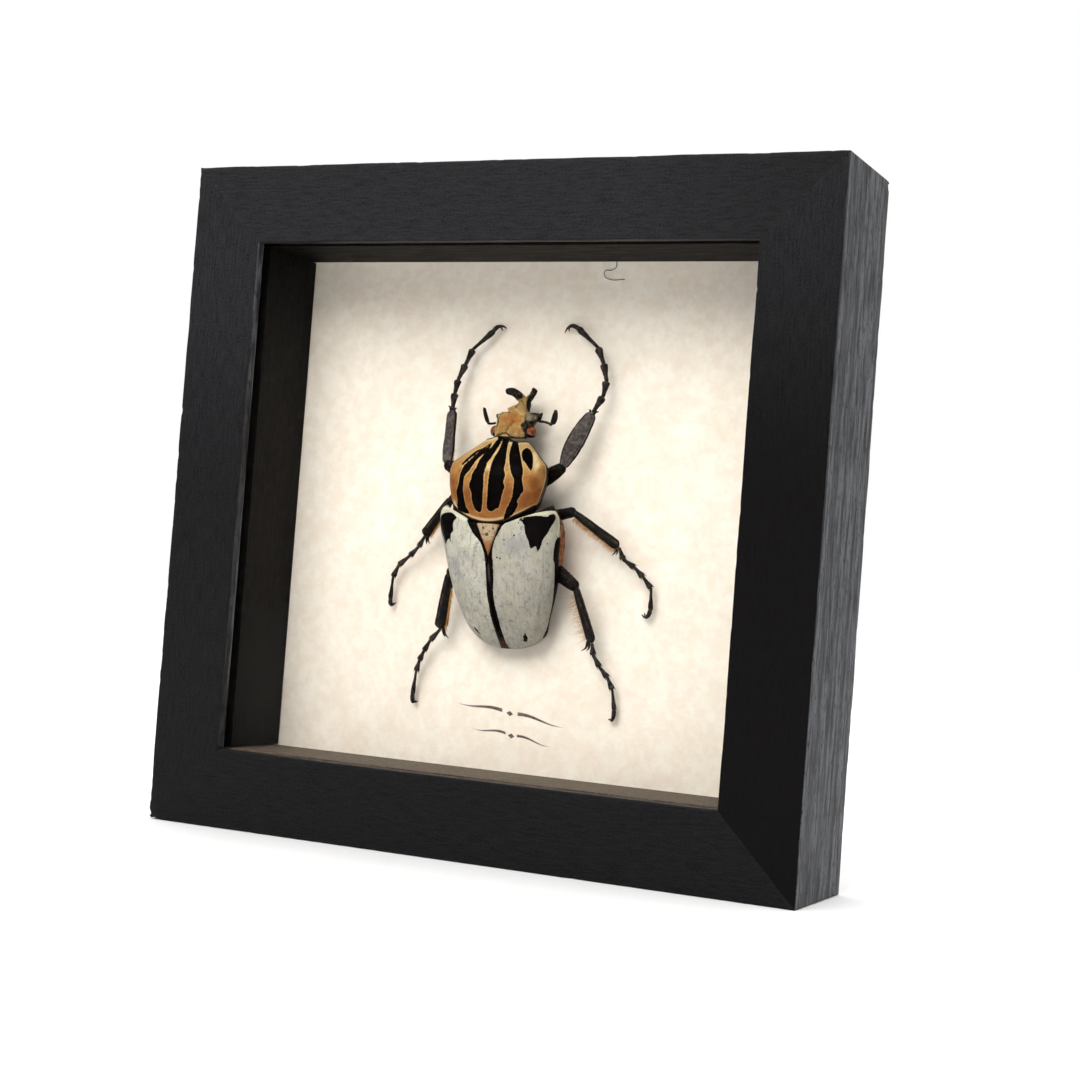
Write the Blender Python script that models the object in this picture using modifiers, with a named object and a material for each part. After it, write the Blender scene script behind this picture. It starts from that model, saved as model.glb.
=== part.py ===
"""Framed goliath beetle: a mitred wooden box frame, glazed, with one dried beetle on a parchment card.

The frame stands on its bottom rail. X runs to the right, Y to the back and Z up, and the origin is at the
bottom centre. Lengths in this file are millimetres, and MM turns them into Blender's metres.
The beetle is placed on the card by spot(x, z, h): x to the right, z up and h proud of the card.
"""

import math

import bmesh
import bpy
import numpy as np
from mathutils import Matrix, Vector

MM = 0.001
GAP = 0.3  # clear space between two pieces that touch on the real object

# The case, from its front face backwards
FRAME_WIDTH = 200.0
FRAME_HEIGHT = 194.0
FRAME_DEPTH = 39.0
RAIL_FACE = 22.7
LIP_DEPTH = 3.5
SPACER_THICKNESS = 5.2
RAIL_BODY = RAIL_FACE - SPACER_THICKNESS - GAP
GLASS_FRONT = LIP_DEPTH + GAP
GLASS_THICKNESS = 3.0
SPACER_FRONT = 7.2
CARD_FRONT = 33.0
CARD_THICKNESS = 1.0
PANEL_FRONT = CARD_FRONT + CARD_THICKNESS + GAP
PANEL_THICKNESS = 3.0
PANEL_BACK = PANEL_FRONT + PANEL_THICKNESS
SHEET_SLACK = 0.8  # how much smaller glass, card and panel are than the rebate, on each side
EDGE_ROUND = 0.35

# The back fittings
TAB_LENGTH, TAB_WIDTH, TAB_THICKNESS = 12.0, 6.0, 0.5
HANGER_WIDTH, HANGER_HEIGHT, HANGER_THICKNESS = 46.0, 11.0, 0.5
HANGER_DROP = 40.0  # from the top of the frame to the hanger's middle
HANGER_CORNER = 2.0
HANGER_TEETH, HANGER_TEETH_RUN, HANGER_TOOTH_DEPTH = 9, 25.2, 2.6
NAIL_HEAD_RADIUS, NAIL_SHANK_RADIUS, NAIL_HOLE_RADIUS = 1.8, 0.7, 1.1
NAIL_SPREAD, NAIL_RISE = 19.0, 1.2  # the nails' places on the plate, from its middle
NAIL_HEAD_CHAMFER, NAIL_HEAD_CLEARANCE = 0.25, 0.1

# Colour, roughness and metallic value of each material
COLOURS = {
    "black_wood": ((0.020, 0.020, 0.023, 1.0), 0.55, 0.0),
    "dark_wood": ((0.060, 0.048, 0.040, 1.0), 0.70, 0.0),
    "clear_glass": ((0.95, 0.97, 0.96, 0.25), 0.02, 0.0),
    "parchment": ((0.86, 0.83, 0.76, 1.0), 0.85, 0.0),
    "fibreboard": ((0.36, 0.24, 0.14, 1.0), 0.80, 0.0),
    "steel": ((0.55, 0.55, 0.55, 1.0), 0.35, 1.0),
    "horn_ochre": ((0.55, 0.33, 0.14, 1.0), 0.45, 0.0),
    "amber_eye": ((0.30, 0.08, 0.02, 1.0), 0.15, 0.0),
    "striped_shell": ((0.50, 0.30, 0.12, 1.0), 0.40, 0.0),
    "chalk_shell": ((0.62, 0.62, 0.60, 1.0), 0.60, 0.0),
    "black_shell": ((0.012, 0.011, 0.011, 1.0), 0.35, 0.0),
    "brown_shell": ((0.16, 0.06, 0.02, 1.0), 0.45, 0.0),
}

# The beetle's midline, as x at a height z: the wing cases lean a little, the front body hardly
PRONOTUM_MIDLINE = -2.5
ELYTRA_MIDLINE, ELYTRA_LEAN, ELYTRA_LEAN_FROM = -1.8, 0.055, 90.0
SHELL_POWER = 2.2  # 2 would make each cross section an ellipse, and more makes it squarer

# Stations of the pronotum from its base to its front edge: z at the middle, z at the sides,
# half width, h of the side edge, h of the crown, h of the underside
PRONOTUM_STATIONS = (
    (93.9, 99.6, 13.1, 14.6, 19.0, 8.0),
    (95.6, 100.6, 13.7, 14.5, 19.6, 6.6),
    (98.5, 102.3, 14.1, 14.3, 20.3, 5.8),
    (102.5, 104.8, 14.7, 13.9, 21.1, 5.5),
    (106.5, 107.7, 15.0, 13.5, 21.2, 5.5),
    (110.0, 110.4, 14.6, 13.1, 20.0, 5.6),
    (113.2, 113.0, 12.1, 12.0, 17.5, 5.8),
    (116.2, 115.7, 9.1, 10.4, 14.7, 6.1),
    (118.4, 117.8, 6.6, 9.5, 12.6, 6.6),
)

# Stations of the wing cases from the shoulders to the tip: z, how far the left and the right one
# reach from the seam, h of the side edge and h of the crown
ELYTRA_STATIONS = (
    (99.6, 13.8, 14.5, 12.0, 19.6),
    (98.8, 16.0, 16.8, 11.9, 19.5),
    (97.7, 17.5, 18.3, 11.8, 19.5),
    (96.0, 18.2, 19.0, 11.7, 19.4),
    (92.0, 18.4, 19.3, 11.5, 19.2),
    (85.5, 17.1, 18.6, 10.9, 18.5),
    (79.0, 16.2, 17.9, 9.2, 17.3),
    (73.0, 15.1, 16.0, 7.3, 15.6),
    (67.5, 13.4, 14.0, 5.8, 12.7),
    (63.5, 11.5, 12.8, 5.0, 9.9),
    (60.6, 8.6, 9.6, 4.7, 7.4),
    (59.0, 5.3, 5.8, 4.6, 5.9),
    (58.4, 2.4, 2.4, 4.6, 5.2),
)
ELYTRON_THICKNESS = 0.9
ELYTRON_ROWS, ELYTRON_COLUMNS = 16, 11
SHOULDER_INNER_Z, SHOULDER_OUTER_Z = 93.3, 98.4
SHOULDER_BULGE = 1.6
SUTURE_GAP = 0.17

SCUTELLUM_BASE_Z, SCUTELLUM_TIP_Z = 93.1, 84.4
SCUTELLUM_HALF_WIDTH = 3.6
SCUTELLUM_THICKNESS = 1.0

# Stations of the thorax below the wing cases: z at the middle, z at the sides, half width,
# h of its widest level, h of the top, h of the underside
THORAX_STATIONS = (
    (92.9, 98.0, 14.6, 8.6, 15.2, 1.8),
    (90.5, 95.2, 17.3, 8.0, 15.4, 0.7),
    (87.5, 90.5, 18.1, 7.4, 14.6, 0.4),
    (84.0, 85.5, 17.9, 7.0, 13.8, 0.4),
    (80.5, 81.0, 16.4, 6.6, 13.2, 0.6),
    (77.6, 77.8, 14.8, 6.3, 12.6, 0.9),
)
# Stations of the abdomen: z, half width, widest level, top, underside
ABDOMEN_STATIONS = (
    (77.2, 14.0, 6.4, 13.6, 0.9),
    (73.0, 13.2, 5.8, 12.8, 1.0),
    (67.5, 11.5, 4.9, 10.2, 1.2),
    (63.5, 9.5, 4.2, 7.6, 1.6),
    (60.8, 6.6, 3.7, 5.4, 2.0),
    (59.2, 3.4, 3.4, 4.3, 2.4),
)

# Stations of the head from the neck to the front of the face: x of the midline, z, half width,
# widest level, crown, underside
HEAD_STATIONS = (
    (-2.4, 119.0, 5.0, 7.9, 11.0, 4.8),
    (-2.0, 120.9, 5.4, 7.3, 10.6, 3.8),
    (-1.8, 123.0, 5.9, 6.6, 9.6, 3.2),
    (-1.5, 124.6, 6.5, 5.9, 8.4, 2.8),
    (-1.2, 125.8, 6.8, 5.3, 7.2, 2.8),
    (-1.1, 126.6, 6.0, 5.0, 6.2, 3.3),
)
# The horn, as (x, z, h, width, thickness): the stem, then one branch to each side
HORN_STEM = (
    (-2.3, 125.0, 5.7, 9.6, 2.4),
    (-1.2, 126.9, 5.1, 7.0, 2.4),
    (-0.6, 128.2, 4.7, 4.8, 2.3),
    (-0.3, 129.4, 4.3, 4.0, 2.2),
    (-0.3, 130.7, 4.2, 4.3, 2.0),
)
HORN_BRANCH_LEFT = (
    (-0.6, 130.1, 4.1, 3.2, 1.9),
    (-1.9, 131.1, 4.9, 2.3, 1.8),
    (-2.6, 131.9, 5.9, 2.0, 1.6),
    (-3.7, 132.4, 6.9, 2.0, 1.4),
    (-5.5, 132.4, 7.7, 0.9, 0.9),
)
HORN_BRANCH_RIGHT = (
    (-0.4, 130.1, 4.1, 3.2, 1.9),
    (1.1, 130.6, 4.9, 2.4, 1.8),
    (2.8, 131.8, 6.3, 2.0, 1.6),
    (3.7, 132.8, 7.1, 2.2, 1.5),
    (4.0, 133.3, 7.4, 2.3, 1.3),
)
CLYPEUS_TEETH = {
    "left": ((-7.0, 124.2, 5.2, 1.9, 1.4), (-8.0, 125.2, 5.4, 1.5, 1.1), (-8.6, 125.9, 5.6, 0.8, 0.6)),
    "right": ((4.3, 124.2, 5.2, 1.9, 1.3), (5.3, 125.4, 5.5, 1.4, 1.0), (6.1, 126.7, 5.8, 0.7, 0.5)),
}

EYE_RADIUS = 1.7
EYES = {"left": (-7.5, 120.7, 7.3), "right": (4.0, 120.7, 7.9)}
# Each antenna from its socket to the tip of its club: x, z, h and radius
ANTENNA_RIGHT = (
    (5.45, 124.1, 6.6, 0.40), (7.0, 124.0, 6.7, 0.34), (8.6, 123.7, 6.9, 0.32),
    (9.8, 123.3, 7.0, 0.46), (10.3, 124.0, 6.9, 0.82), (10.5, 125.2, 6.7, 0.88),
    (10.5, 126.5, 6.4, 0.66), (10.3, 127.6, 6.0, 0.24),
)
ANTENNA_LEFT = (
    (-8.15, 123.3, 6.5, 0.36), (-8.9, 123.0, 6.7, 0.32), (-9.7, 122.9, 6.9, 0.34),
    (-10.4, 123.0, 7.0, 0.42), (-10.9, 123.9, 6.95, 0.52), (-11.5, 125.1, 6.75, 0.53),
    (-12.2, 126.6, 6.35, 0.45), (-12.6, 127.6, 6.0, 0.2),
)

# Each leg: hip, knee and ankle, the joints of the foot, the top of the claws' arch and their tips,
# the shin's widths at SHIN_RUNS, how far its flat side is rolled from the card in degrees, how far its
# middle bows sideways, and the tips of its end spurs, measured from the ankle
LEGS = {
    "front_left": {
        "hip": (-9.3, 104.9, 4.6), "knee": (-22.1, 110.4, 8.4), "ankle": (-22.9, 126.6, 6.2),
        "joints": ((-23.2, 131.6, 5.0), (-22.7, 135.7, 4.4), (-21.0, 140.4, 3.8), (-19.2, 145.0, 3.2),
                   (-13.0, 150.6, 2.6)),
        "arch": (-11.6, 153.2, 2.6), "claws": ((-9.8, 151.5, 1.0), (-11.0, 150.9, 1.0)),
        "shin": (2.2, 3.4, 3.9, 3.5, 3.4, 3.3, 3.0), "roll": -5.0, "bow": 0.0,
        "spurs": ((-1.9, 1.5, 0.0), (1.8, 0.7, 0.0)),
    },
    "front_right": {
        "hip": (3.3, 104.9, 4.6), "knee": (15.2, 110.9, 9.0), "ankle": (22.0, 127.1, 6.2),
        "joints": ((24.3, 131.9, 5.0), (24.8, 136.4, 4.4), (23.2, 141.4, 3.8), (20.8, 146.1, 3.2),
                   (13.7, 151.8, 2.6)),
        "arch": (10.8, 153.6, 2.6), "claws": ((9.0, 150.5, 1.0), (10.3, 150.9, 1.0)),
        "shin": (1.9, 3.2, 4.6, 5.0, 4.5, 3.6, 3.0), "roll": 20.0, "bow": -0.4,
        "spurs": ((2.4, 0.4, 0.0), (-1.7, 1.1, 0.0)),
    },
    "middle_left": {
        "hip": (-7.9, 95.0, 3.6), "knee": (-19.6, 100.6, 8.6), "ankle": (-29.5, 89.2, 4.9),
        "joints": ((-31.6, 86.0, 4.2), (-34.6, 83.2, 3.7), (-38.4, 80.2, 3.2), (-40.3, 76.6, 2.8),
                   (-41.1, 69.8, 2.0)),
        "arch": (-41.0, 67.4, 2.2), "claws": ((-39.5, 69.0, 1.0), (-40.2, 68.3, 1.0)),
        "shin": (1.9, 2.3, 2.7, 2.9, 3.2, 3.4, 2.9), "roll": 35.0, "bow": 0.0,
        "spurs": ((1.9, -2.7, -1.0), (0.4, -3.1, -1.4)),
    },
    "middle_right": {
        "hip": (3.6, 95.4, 3.6), "knee": (19.4, 98.6, 8.8), "ankle": (32.6, 89.6, 4.9),
        "joints": ((33.9, 86.2, 4.2), (37.3, 84.2, 3.7), (39.9, 81.7, 3.2), (42.4, 78.7, 2.8),
                   (42.4, 72.4, 2.0)),
        "arch": (41.6, 69.2, 2.2), "claws": ((39.4, 71.2, 1.0), (40.2, 71.7, 1.0)),
        "shin": (1.9, 2.3, 2.7, 2.9, 3.2, 3.4, 2.9), "roll": -35.0, "bow": 0.0,
        "spurs": ((-2.9, -3.1, -1.0), (-1.6, -2.9, -1.6)),
    },
    "hind_left": {
        "hip": (-8.8, 85.0, 3.4), "knee": (-18.6, 78.9, 8.2), "ankle": (-21.9, 62.4, 4.9),
        "joints": ((-25.3, 58.9, 4.2), (-27.5, 55.6, 3.6), (-29.1, 52.7, 3.0), (-30.2, 49.3, 2.5),
                   (-31.2, 42.3, 1.8)),
        "arch": (-31.2, 39.4, 2.0), "claws": ((-29.6, 40.5, 1.0), (-30.7, 40.1, 1.0)),
        "shin": (2.1, 2.5, 3.0, 3.3, 3.6, 3.8, 3.3), "roll": 35.0, "bow": 0.0,
        "spurs": ((1.7, -2.9, -0.9), (2.9, -3.2, -1.3)),
    },
    "hind_right": {
        "hip": (6.2, 86.0, 3.4), "knee": (21.9, 77.6, 8.8), "ankle": (26.6, 62.1, 4.9),
        "joints": ((26.9, 58.7, 4.2), (28.9, 55.5, 3.6), (31.3, 52.7, 3.0), (32.8, 49.5, 2.5),
                   (33.6, 43.7, 1.8)),
        "arch": (33.8, 40.3, 2.0), "claws": ((31.6, 41.0, 1.0), (32.4, 40.6, 1.0)),
        "shin": (2.1, 2.5, 3.0, 3.3, 3.6, 3.8, 3.3), "roll": -35.0, "bow": 0.0,
        "spurs": ((-4.4, -3.2, -0.9), (-2.6, -3.0, -1.5)),
    },
}
THIGH_RUNS = (0.0, 0.2, 0.5, 0.85)  # how far along from hip to knee, before the rounded knee itself
THIGH_WIDTHS, THIGH_THICKNESSES = (2.4, 4.0, 4.6, 3.8), (2.0, 2.8, 3.2, 3.0)
KNEE_REACH, KNEE_WIDTH, KNEE_THICKNESS = 0.9, 2.9, 2.7
SHIN_RUNS = (0.0, 0.1, 0.3, 0.5, 0.75, 0.92, 1.0)  # how far along from knee to ankle
SHIN_THICKNESSES = (1.4, 1.7, 2.0, 2.0, 2.1, 2.1, 1.7)
FOOT_NECK_RADIUS, FOOT_FLARE_RADIUS = 0.66, 1.2
CLAW_RADIUS, CLAW_SPREAD = 0.50, 0.55


def clear_scene():
    for old in list(bpy.data.objects):
        bpy.data.objects.remove(old, do_unlink=True)


def new_collection(name):
    made = bpy.data.collections.new(name)
    bpy.context.scene.collection.children.link(made)
    return made


clear_scene()
PIECES = new_collection("framed_goliath_beetle")
CUTTERS = new_collection("cutters")


def material(name):
    """The Principled material of one finish, made on first use."""
    made = bpy.data.materials.get(name)
    if made is None:
        colour, roughness, metallic = COLOURS[name]
        made = bpy.data.materials.new(name)
        made.use_nodes = True
        shader = made.node_tree.nodes["Principled BSDF"]
        shader.inputs["Base Color"].default_value = colour
        shader.inputs["Roughness"].default_value = roughness
        shader.inputs["Metallic"].default_value = metallic
    return made


def depth(distance):
    """World y in millimetres of a plane this far behind the frame's front face."""
    return distance - FRAME_DEPTH / 2


def spot(x, z, h):
    """A point beside the card, in metres: h is its distance in front of the card."""
    return Vector((x, depth(CARD_FRONT) - h, z)) * MM


def link(name, mesh, finish):
    made = bpy.data.objects.new(name, mesh)
    mesh.materials.clear()
    mesh.materials.append(material(finish))
    PIECES.objects.link(made)
    return made


def as_cutter(piece):
    """Keep an object only as the tool of a Boolean."""
    for owner in list(piece.users_collection):
        owner.objects.unlink(piece)
    CUTTERS.objects.link(piece)
    piece.hide_render = True
    piece.display_type = "WIRE"
    return piece


def add_boolean(piece, other, operation):
    cut = piece.modifiers.new(f"{operation.lower()} {other.name}", "BOOLEAN")
    cut.object = as_cutter(other)
    cut.operation = operation
    cut.solver = "EXACT"


def mesh_from_faces(name, points, faces):
    """A closed or open mesh with its faces turned the same way."""
    mesh = bpy.data.meshes.new(name)
    mesh.from_pydata([tuple(point) for point in points], [], faces)
    shape = bmesh.new()
    shape.from_mesh(mesh)
    bmesh.ops.recalc_face_normals(shape, faces=shape.faces)
    shape.to_mesh(mesh)
    shape.free()
    mesh.shade_smooth()
    return mesh


def box(name, low, high, finish, rounding=0.0):
    """A block between two corners given in millimetres, with its edges eased."""
    shape = bmesh.new()
    bmesh.ops.create_cube(shape, size=1.0)
    low, high = Vector(low), Vector(high)
    size = (high - low) * MM
    bmesh.ops.transform(
        shape,
        matrix=Matrix.Translation((low + high) * MM / 2) @ Matrix.Diagonal((*size, 1.0)),
        verts=shape.verts,
    )
    mesh = bpy.data.meshes.new(name)
    shape.to_mesh(mesh)
    shape.free()
    made = link(name, mesh, finish)
    if rounding:
        ease_edges(made, rounding)
    return made


def ease_edges(piece, width):
    bevel = piece.modifiers.new("eased edges", "BEVEL")
    bevel.width = width * MM
    bevel.segments = 2
    bevel.limit_method = "ANGLE"
    bevel.angle_limit = math.radians(40)


def loft(name, rings, finish):
    """A closed skin through rings with the same even number of points.

    Strips from the upper to the lower half of a ring close each end, so that a bowed end stays bowed.
    """
    count = len(rings[0])
    points = [point for ring in rings for point in ring]
    faces = []
    for ring in range(len(rings) - 1):
        for step in range(count):
            near, far = ring * count, (ring + 1) * count
            following = (step + 1) % count
            faces.append((near + step, near + following, far + following, far + step))
    for end in (0, (len(rings) - 1) * count):
        for step in range(count // 2 - 1):
            below = count - 1 - step
            faces.append((end + step, end + step + 1, end + below - 1, end + below))
    return link(name, mesh_from_faces(name, points, faces), finish)


def blade(name, stations, normal, finish, sides=10, grow=0.0):
    """A limb with an oval section, through stations (x, z, h, width, thickness).

    The width lies across the limb and square to normal, which is a direction in x, z and h.
    """
    centres = [spot(*station[:3]) for station in stations]
    facing = Vector((normal[0], -normal[2], normal[1])).normalized()
    rings = []
    for index, (station, centre) in enumerate(zip(stations, centres)):
        before, after = centres[max(index - 1, 0)], centres[min(index + 1, len(centres) - 1)]
        along = (after - before).normalized()
        across = along.cross(facing).normalized()
        up = across.cross(along).normalized()
        half_width, half_thickness = station[3] / 2 + grow, station[4] / 2 + grow
        ring = []
        for step in range(sides):
            turn = 2 * math.pi * (step + 0.5) / sides
            ring.append(
                centre + (across * half_width * math.cos(turn) + up * half_thickness * math.sin(turn)) * MM
            )
        rings.append(ring)
    if grow:
        rings[0] = [point - (rings[1][0] - rings[0][0]).normalized() * grow * MM for point in rings[0]]
        rings[-1] = [point + (rings[-1][0] - rings[-2][0]).normalized() * grow * MM for point in rings[-1]]
    return loft(name, rings, finish)


def tube(name, stations, finish, resolution=1):
    """A round limb as a bevelled curve through stations (x, z, h, radius), turned into a welded mesh."""
    line = bpy.data.curves.new(name, "CURVE")
    line.dimensions = "3D"
    line.bevel_depth = MM
    line.bevel_resolution = resolution
    line.use_fill_caps = True
    spline = line.splines.new("POLY")
    spline.points.add(len(stations) - 1)
    for point, (x, z, h, radius) in zip(spline.points, stations):
        point.co = (*spot(x, z, h), 1.0)
        point.radius = radius
    drawn = bpy.data.objects.new(name, line)
    PIECES.objects.link(drawn)
    bpy.context.view_layer.update()
    evaluated = drawn.evaluated_get(bpy.context.evaluated_depsgraph_get())
    mesh = bpy.data.meshes.new_from_object(evaluated)
    place = drawn.matrix_world.copy()
    bpy.data.objects.remove(drawn, do_unlink=True)
    shape = bmesh.new()
    shape.from_mesh(mesh)
    bmesh.ops.remove_doubles(shape, verts=shape.verts, dist=0.00001)
    bmesh.ops.recalc_face_normals(shape, faces=shape.faces)
    shape.to_mesh(mesh)
    shape.free()
    mesh.shade_smooth()
    made = link(name, mesh, finish)
    made.matrix_world = place
    return made


def flat_outline(name, outlines, thickness, finish):
    """A plate cut from a flat 2D curve. The first outline is its edge, and the others are its holes."""
    drawing = bpy.data.curves.new(name, "CURVE")
    drawing.dimensions = "2D"
    drawing.fill_mode = "BOTH"
    drawing.extrude = thickness * MM / 2
    for outline in outlines:
        spline = drawing.splines.new("POLY")
        spline.points.add(len(outline) - 1)
        spline.use_cyclic_u = True
        for point, (x, y) in zip(spline.points, outline):
            point.co = (x * MM, y * MM, 0.0, 1.0)
    made = bpy.data.objects.new(name, drawing)
    drawing.materials.append(material(finish))
    PIECES.objects.link(made)
    return made


def rail(name, length, location, turn):
    """One mitred rail, drawn as the bottom one and then turned about Y: a lip in front, a rebate behind."""
    shape = bmesh.new()
    bmesh.ops.create_cube(shape, size=1.0)
    mitre_gap = GAP / math.sqrt(2) / 2
    for vertex in shape.verts:
        height = RAIL_FACE if vertex.co.z > 0 else 0.0
        half_length = length / 2 - height - mitre_gap
        x = math.copysign(half_length, vertex.co.x)
        y = math.copysign(FRAME_DEPTH / 2, vertex.co.y)
        vertex.co = Vector((x, y, height)) * MM
    mesh = bpy.data.meshes.new(name)
    shape.to_mesh(mesh)
    shape.free()
    made = link(name, mesh, "black_wood")
    rebate = box(
        f"{name}_rebate",
        (-length / 2, depth(LIP_DEPTH), RAIL_BODY),
        (length / 2, depth(FRAME_DEPTH) + 5.0, RAIL_FACE + 5.0),
        "black_wood",
    )
    add_boolean(made, rebate, "DIFFERENCE")
    ease_edges(made, EDGE_ROUND)
    for piece in (made, rebate):
        piece.location = Vector(location) * MM
        piece.rotation_euler = (0.0, math.radians(turn), 0.0)
    return made


def make_rails():
    rail("frame_rail_bottom", FRAME_WIDTH, (0.0, 0.0, 0.0), 0)
    rail("frame_rail_top", FRAME_WIDTH, (0.0, 0.0, FRAME_HEIGHT), 180)
    rail("frame_rail_left", FRAME_HEIGHT, (-FRAME_WIDTH / 2, 0.0, FRAME_HEIGHT / 2), 90)
    rail("frame_rail_right", FRAME_HEIGHT, (FRAME_WIDTH / 2, 0.0, FRAME_HEIGHT / 2), -90)


def sheet(name, front, thickness, finish):
    """A pane, card or panel that lies in the rebate."""
    inset = RAIL_BODY + SHEET_SLACK
    return box(
        name,
        (-FRAME_WIDTH / 2 + inset, depth(front), inset),
        (FRAME_WIDTH / 2 - inset, depth(front + thickness), FRAME_HEIGHT - inset),
        finish,
    )


def make_sheets():
    sheet("glass_pane", GLASS_FRONT, GLASS_THICKNESS, "clear_glass")
    sheet("parchment_card", CARD_FRONT, CARD_THICKNESS, "parchment")
    sheet("back_panel", PANEL_FRONT, PANEL_THICKNESS, "fibreboard")


def make_spacers():
    front, back = depth(SPACER_FRONT), depth(CARD_FRONT - GAP)
    outer = RAIL_BODY + GAP
    inner = outer + SPACER_THICKNESS
    right, top = FRAME_WIDTH / 2, FRAME_HEIGHT
    places = {
        "bottom": ((-right + outer, front, outer), (right - outer, back, inner)),
        "top": ((-right + outer, front, top - inner), (right - outer, back, top - outer)),
        "left": ((-right + outer, front, inner + GAP), (-right + inner, back, top - inner - GAP)),
        "right": ((right - inner, front, inner + GAP), (right - outer, back, top - inner - GAP)),
    }
    for side, (low, high) in places.items():
        box(f"spacer_{side}", low, high, "dark_wood")


def tab_outline():
    """A flat point: square where it leaves the rail, and tapering to a blunt nose over the panel."""
    half = TAB_WIDTH / 2
    return ((-half, 0.0), (half, 0.0), (half * 0.9, TAB_LENGTH * 0.55), (half * 0.3, TAB_LENGTH),
            (-half * 0.3, TAB_LENGTH), (-half * 0.9, TAB_LENGTH * 0.55))


def make_back_tabs():
    wall = RAIL_BODY + GAP
    right, top = FRAME_WIDTH / 2, FRAME_HEIGHT
    y = depth(PANEL_BACK + GAP + TAB_THICKNESS / 2)
    places = {
        "bottom": ((0.0, y, wall), 0),
        "top": ((0.0, y, top - wall), 180),
        "left": ((-right + wall, y, top / 2), 90),
        "right": ((right - wall, y, top / 2), -90),
    }
    for side, (location, turn) in places.items():
        tab = flat_outline(f"back_tab_{side}", [tab_outline()], TAB_THICKNESS, "steel")
        tab.matrix_world = (
            Matrix.Translation(Vector(location) * MM)
            @ Matrix.Rotation(math.radians(turn), 4, "Y")
            @ Matrix.Rotation(math.radians(90), 4, "X")
        )


def hanger_outline():
    """The hanger's edge, from its upper right corner: cut corners above and a saw-tooth edge below."""
    half, drop = HANGER_WIDTH / 2, HANGER_HEIGHT / 2
    tooth = HANGER_TEETH_RUN / HANGER_TEETH
    outline = [(half - HANGER_CORNER, drop), (-half + HANGER_CORNER, drop), (-half, drop - HANGER_CORNER)]
    outline += [(-half, -drop), (-HANGER_TEETH_RUN / 2, -drop)]
    for index in range(HANGER_TEETH):
        start = -HANGER_TEETH_RUN / 2 + index * tooth
        outline += [(start + tooth / 2, -drop + HANGER_TOOTH_DEPTH), (start + tooth, -drop)]
    return outline + [(half, -drop), (half, drop - HANGER_CORNER)]


def nail_hole(side):
    x, y, radius = side * NAIL_SPREAD, NAIL_RISE, NAIL_HOLE_RADIUS
    turns = [2 * math.pi * step / 12 for step in range(12)]
    return [(x + radius * math.cos(turn), y + radius * math.sin(turn)) for turn in turns]


def make_hanger():
    outlines = [hanger_outline(), nail_hole(-1), nail_hole(1)]
    plate = flat_outline("hanger_plate", outlines, HANGER_THICKNESS, "steel")
    plate_y = depth(PANEL_BACK + GAP + HANGER_THICKNESS / 2)
    plate.location = Vector((0.0, plate_y, FRAME_HEIGHT - HANGER_DROP)) * MM
    plate.rotation_euler = (math.radians(90), 0.0, 0.0)


def hanger_nail(name, side):
    """A nail turned about its own axis, from the end of its shank to its flat head."""
    under_head = HANGER_THICKNESS + GAP
    head_top = FRAME_DEPTH - (PANEL_BACK + GAP) - NAIL_HEAD_CLEARANCE
    profile = (
        (0.0, 0.0),
        (NAIL_SHANK_RADIUS, 0.0),
        (NAIL_SHANK_RADIUS, under_head),
        (NAIL_HEAD_RADIUS, under_head),
        (NAIL_HEAD_RADIUS, head_top - NAIL_HEAD_CHAMFER),
        (NAIL_HEAD_RADIUS - NAIL_HEAD_CHAMFER, head_top),
        (0.0, head_top),
    )
    mesh = bpy.data.meshes.new(name)
    points = [(radius * MM, 0.0, along * MM) for radius, along in profile]
    mesh.from_pydata(points, [(index, index + 1) for index in range(len(points) - 1)], [])
    nail = link(name, mesh, "steel")
    screw = nail.modifiers.new("turned", "SCREW")
    screw.steps = screw.render_steps = 16
    screw.use_merge_vertices = True
    screw.merge_threshold = 0.00001
    screw.use_normal_calculate = True
    z = FRAME_HEIGHT - HANGER_DROP + NAIL_RISE
    nail.location = Vector((side * NAIL_SPREAD, depth(PANEL_BACK + GAP), z)) * MM
    nail.rotation_euler = (math.radians(-90), 0.0, 0.0)


def seam_x(z):
    """Where the seam between the wing cases is at a height z."""
    return ELYTRA_MIDLINE + ELYTRA_LEAN * (ELYTRA_LEAN_FROM - z)


def elytra_at(z, side):
    """Reach from the seam, side edge and crown of the left (-1) or right (1) wing case at a height z."""
    table = np.array(ELYTRA_STATIONS)[::-1]
    reach = 1 if side < 0 else 2
    return [smooth_between(table[:, 0], table[:, column], z) for column in (reach, 3, 4)]


def smooth_between(knots, values, at):
    """A smooth curve through the knots that never swings past them (monotone cubic)."""
    knots, values = np.asarray(knots, float), np.asarray(values, float)
    at = min(max(at, knots[0]), knots[-1])
    steps, rises = np.diff(knots), np.diff(values)
    slopes = rises / steps
    tangents = np.zeros(len(knots))
    tangents[0], tangents[-1] = slopes[0], slopes[-1]
    for i in range(1, len(knots) - 1):
        if slopes[i - 1] * slopes[i] > 0:
            tangents[i] = 2 * slopes[i - 1] * slopes[i] / (slopes[i - 1] + slopes[i])
    i = min(int(np.searchsorted(knots, at, side="right")) - 1, len(steps) - 1)
    t = (at - knots[i]) / steps[i]
    return float(
        (2 * t**3 - 3 * t**2 + 1) * values[i]
        + (t**3 - 2 * t**2 + t) * steps[i] * tangents[i]
        + (3 * t**2 - 2 * t**3) * values[i + 1]
        + (t**3 - t**2) * steps[i] * tangents[i + 1]
    )


def dome(offset, half_width, edge, crown):
    """Height of a shell's cross section at a distance from its midline."""
    reach = min(abs(offset) / half_width, 1.0)
    return edge + (crown - edge) * (1.0 - reach**SHELL_POWER) ** (1.0 / SHELL_POWER)


def shell_height(z, offset):
    return dome(offset, *elytra_at(z, offset))


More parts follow.
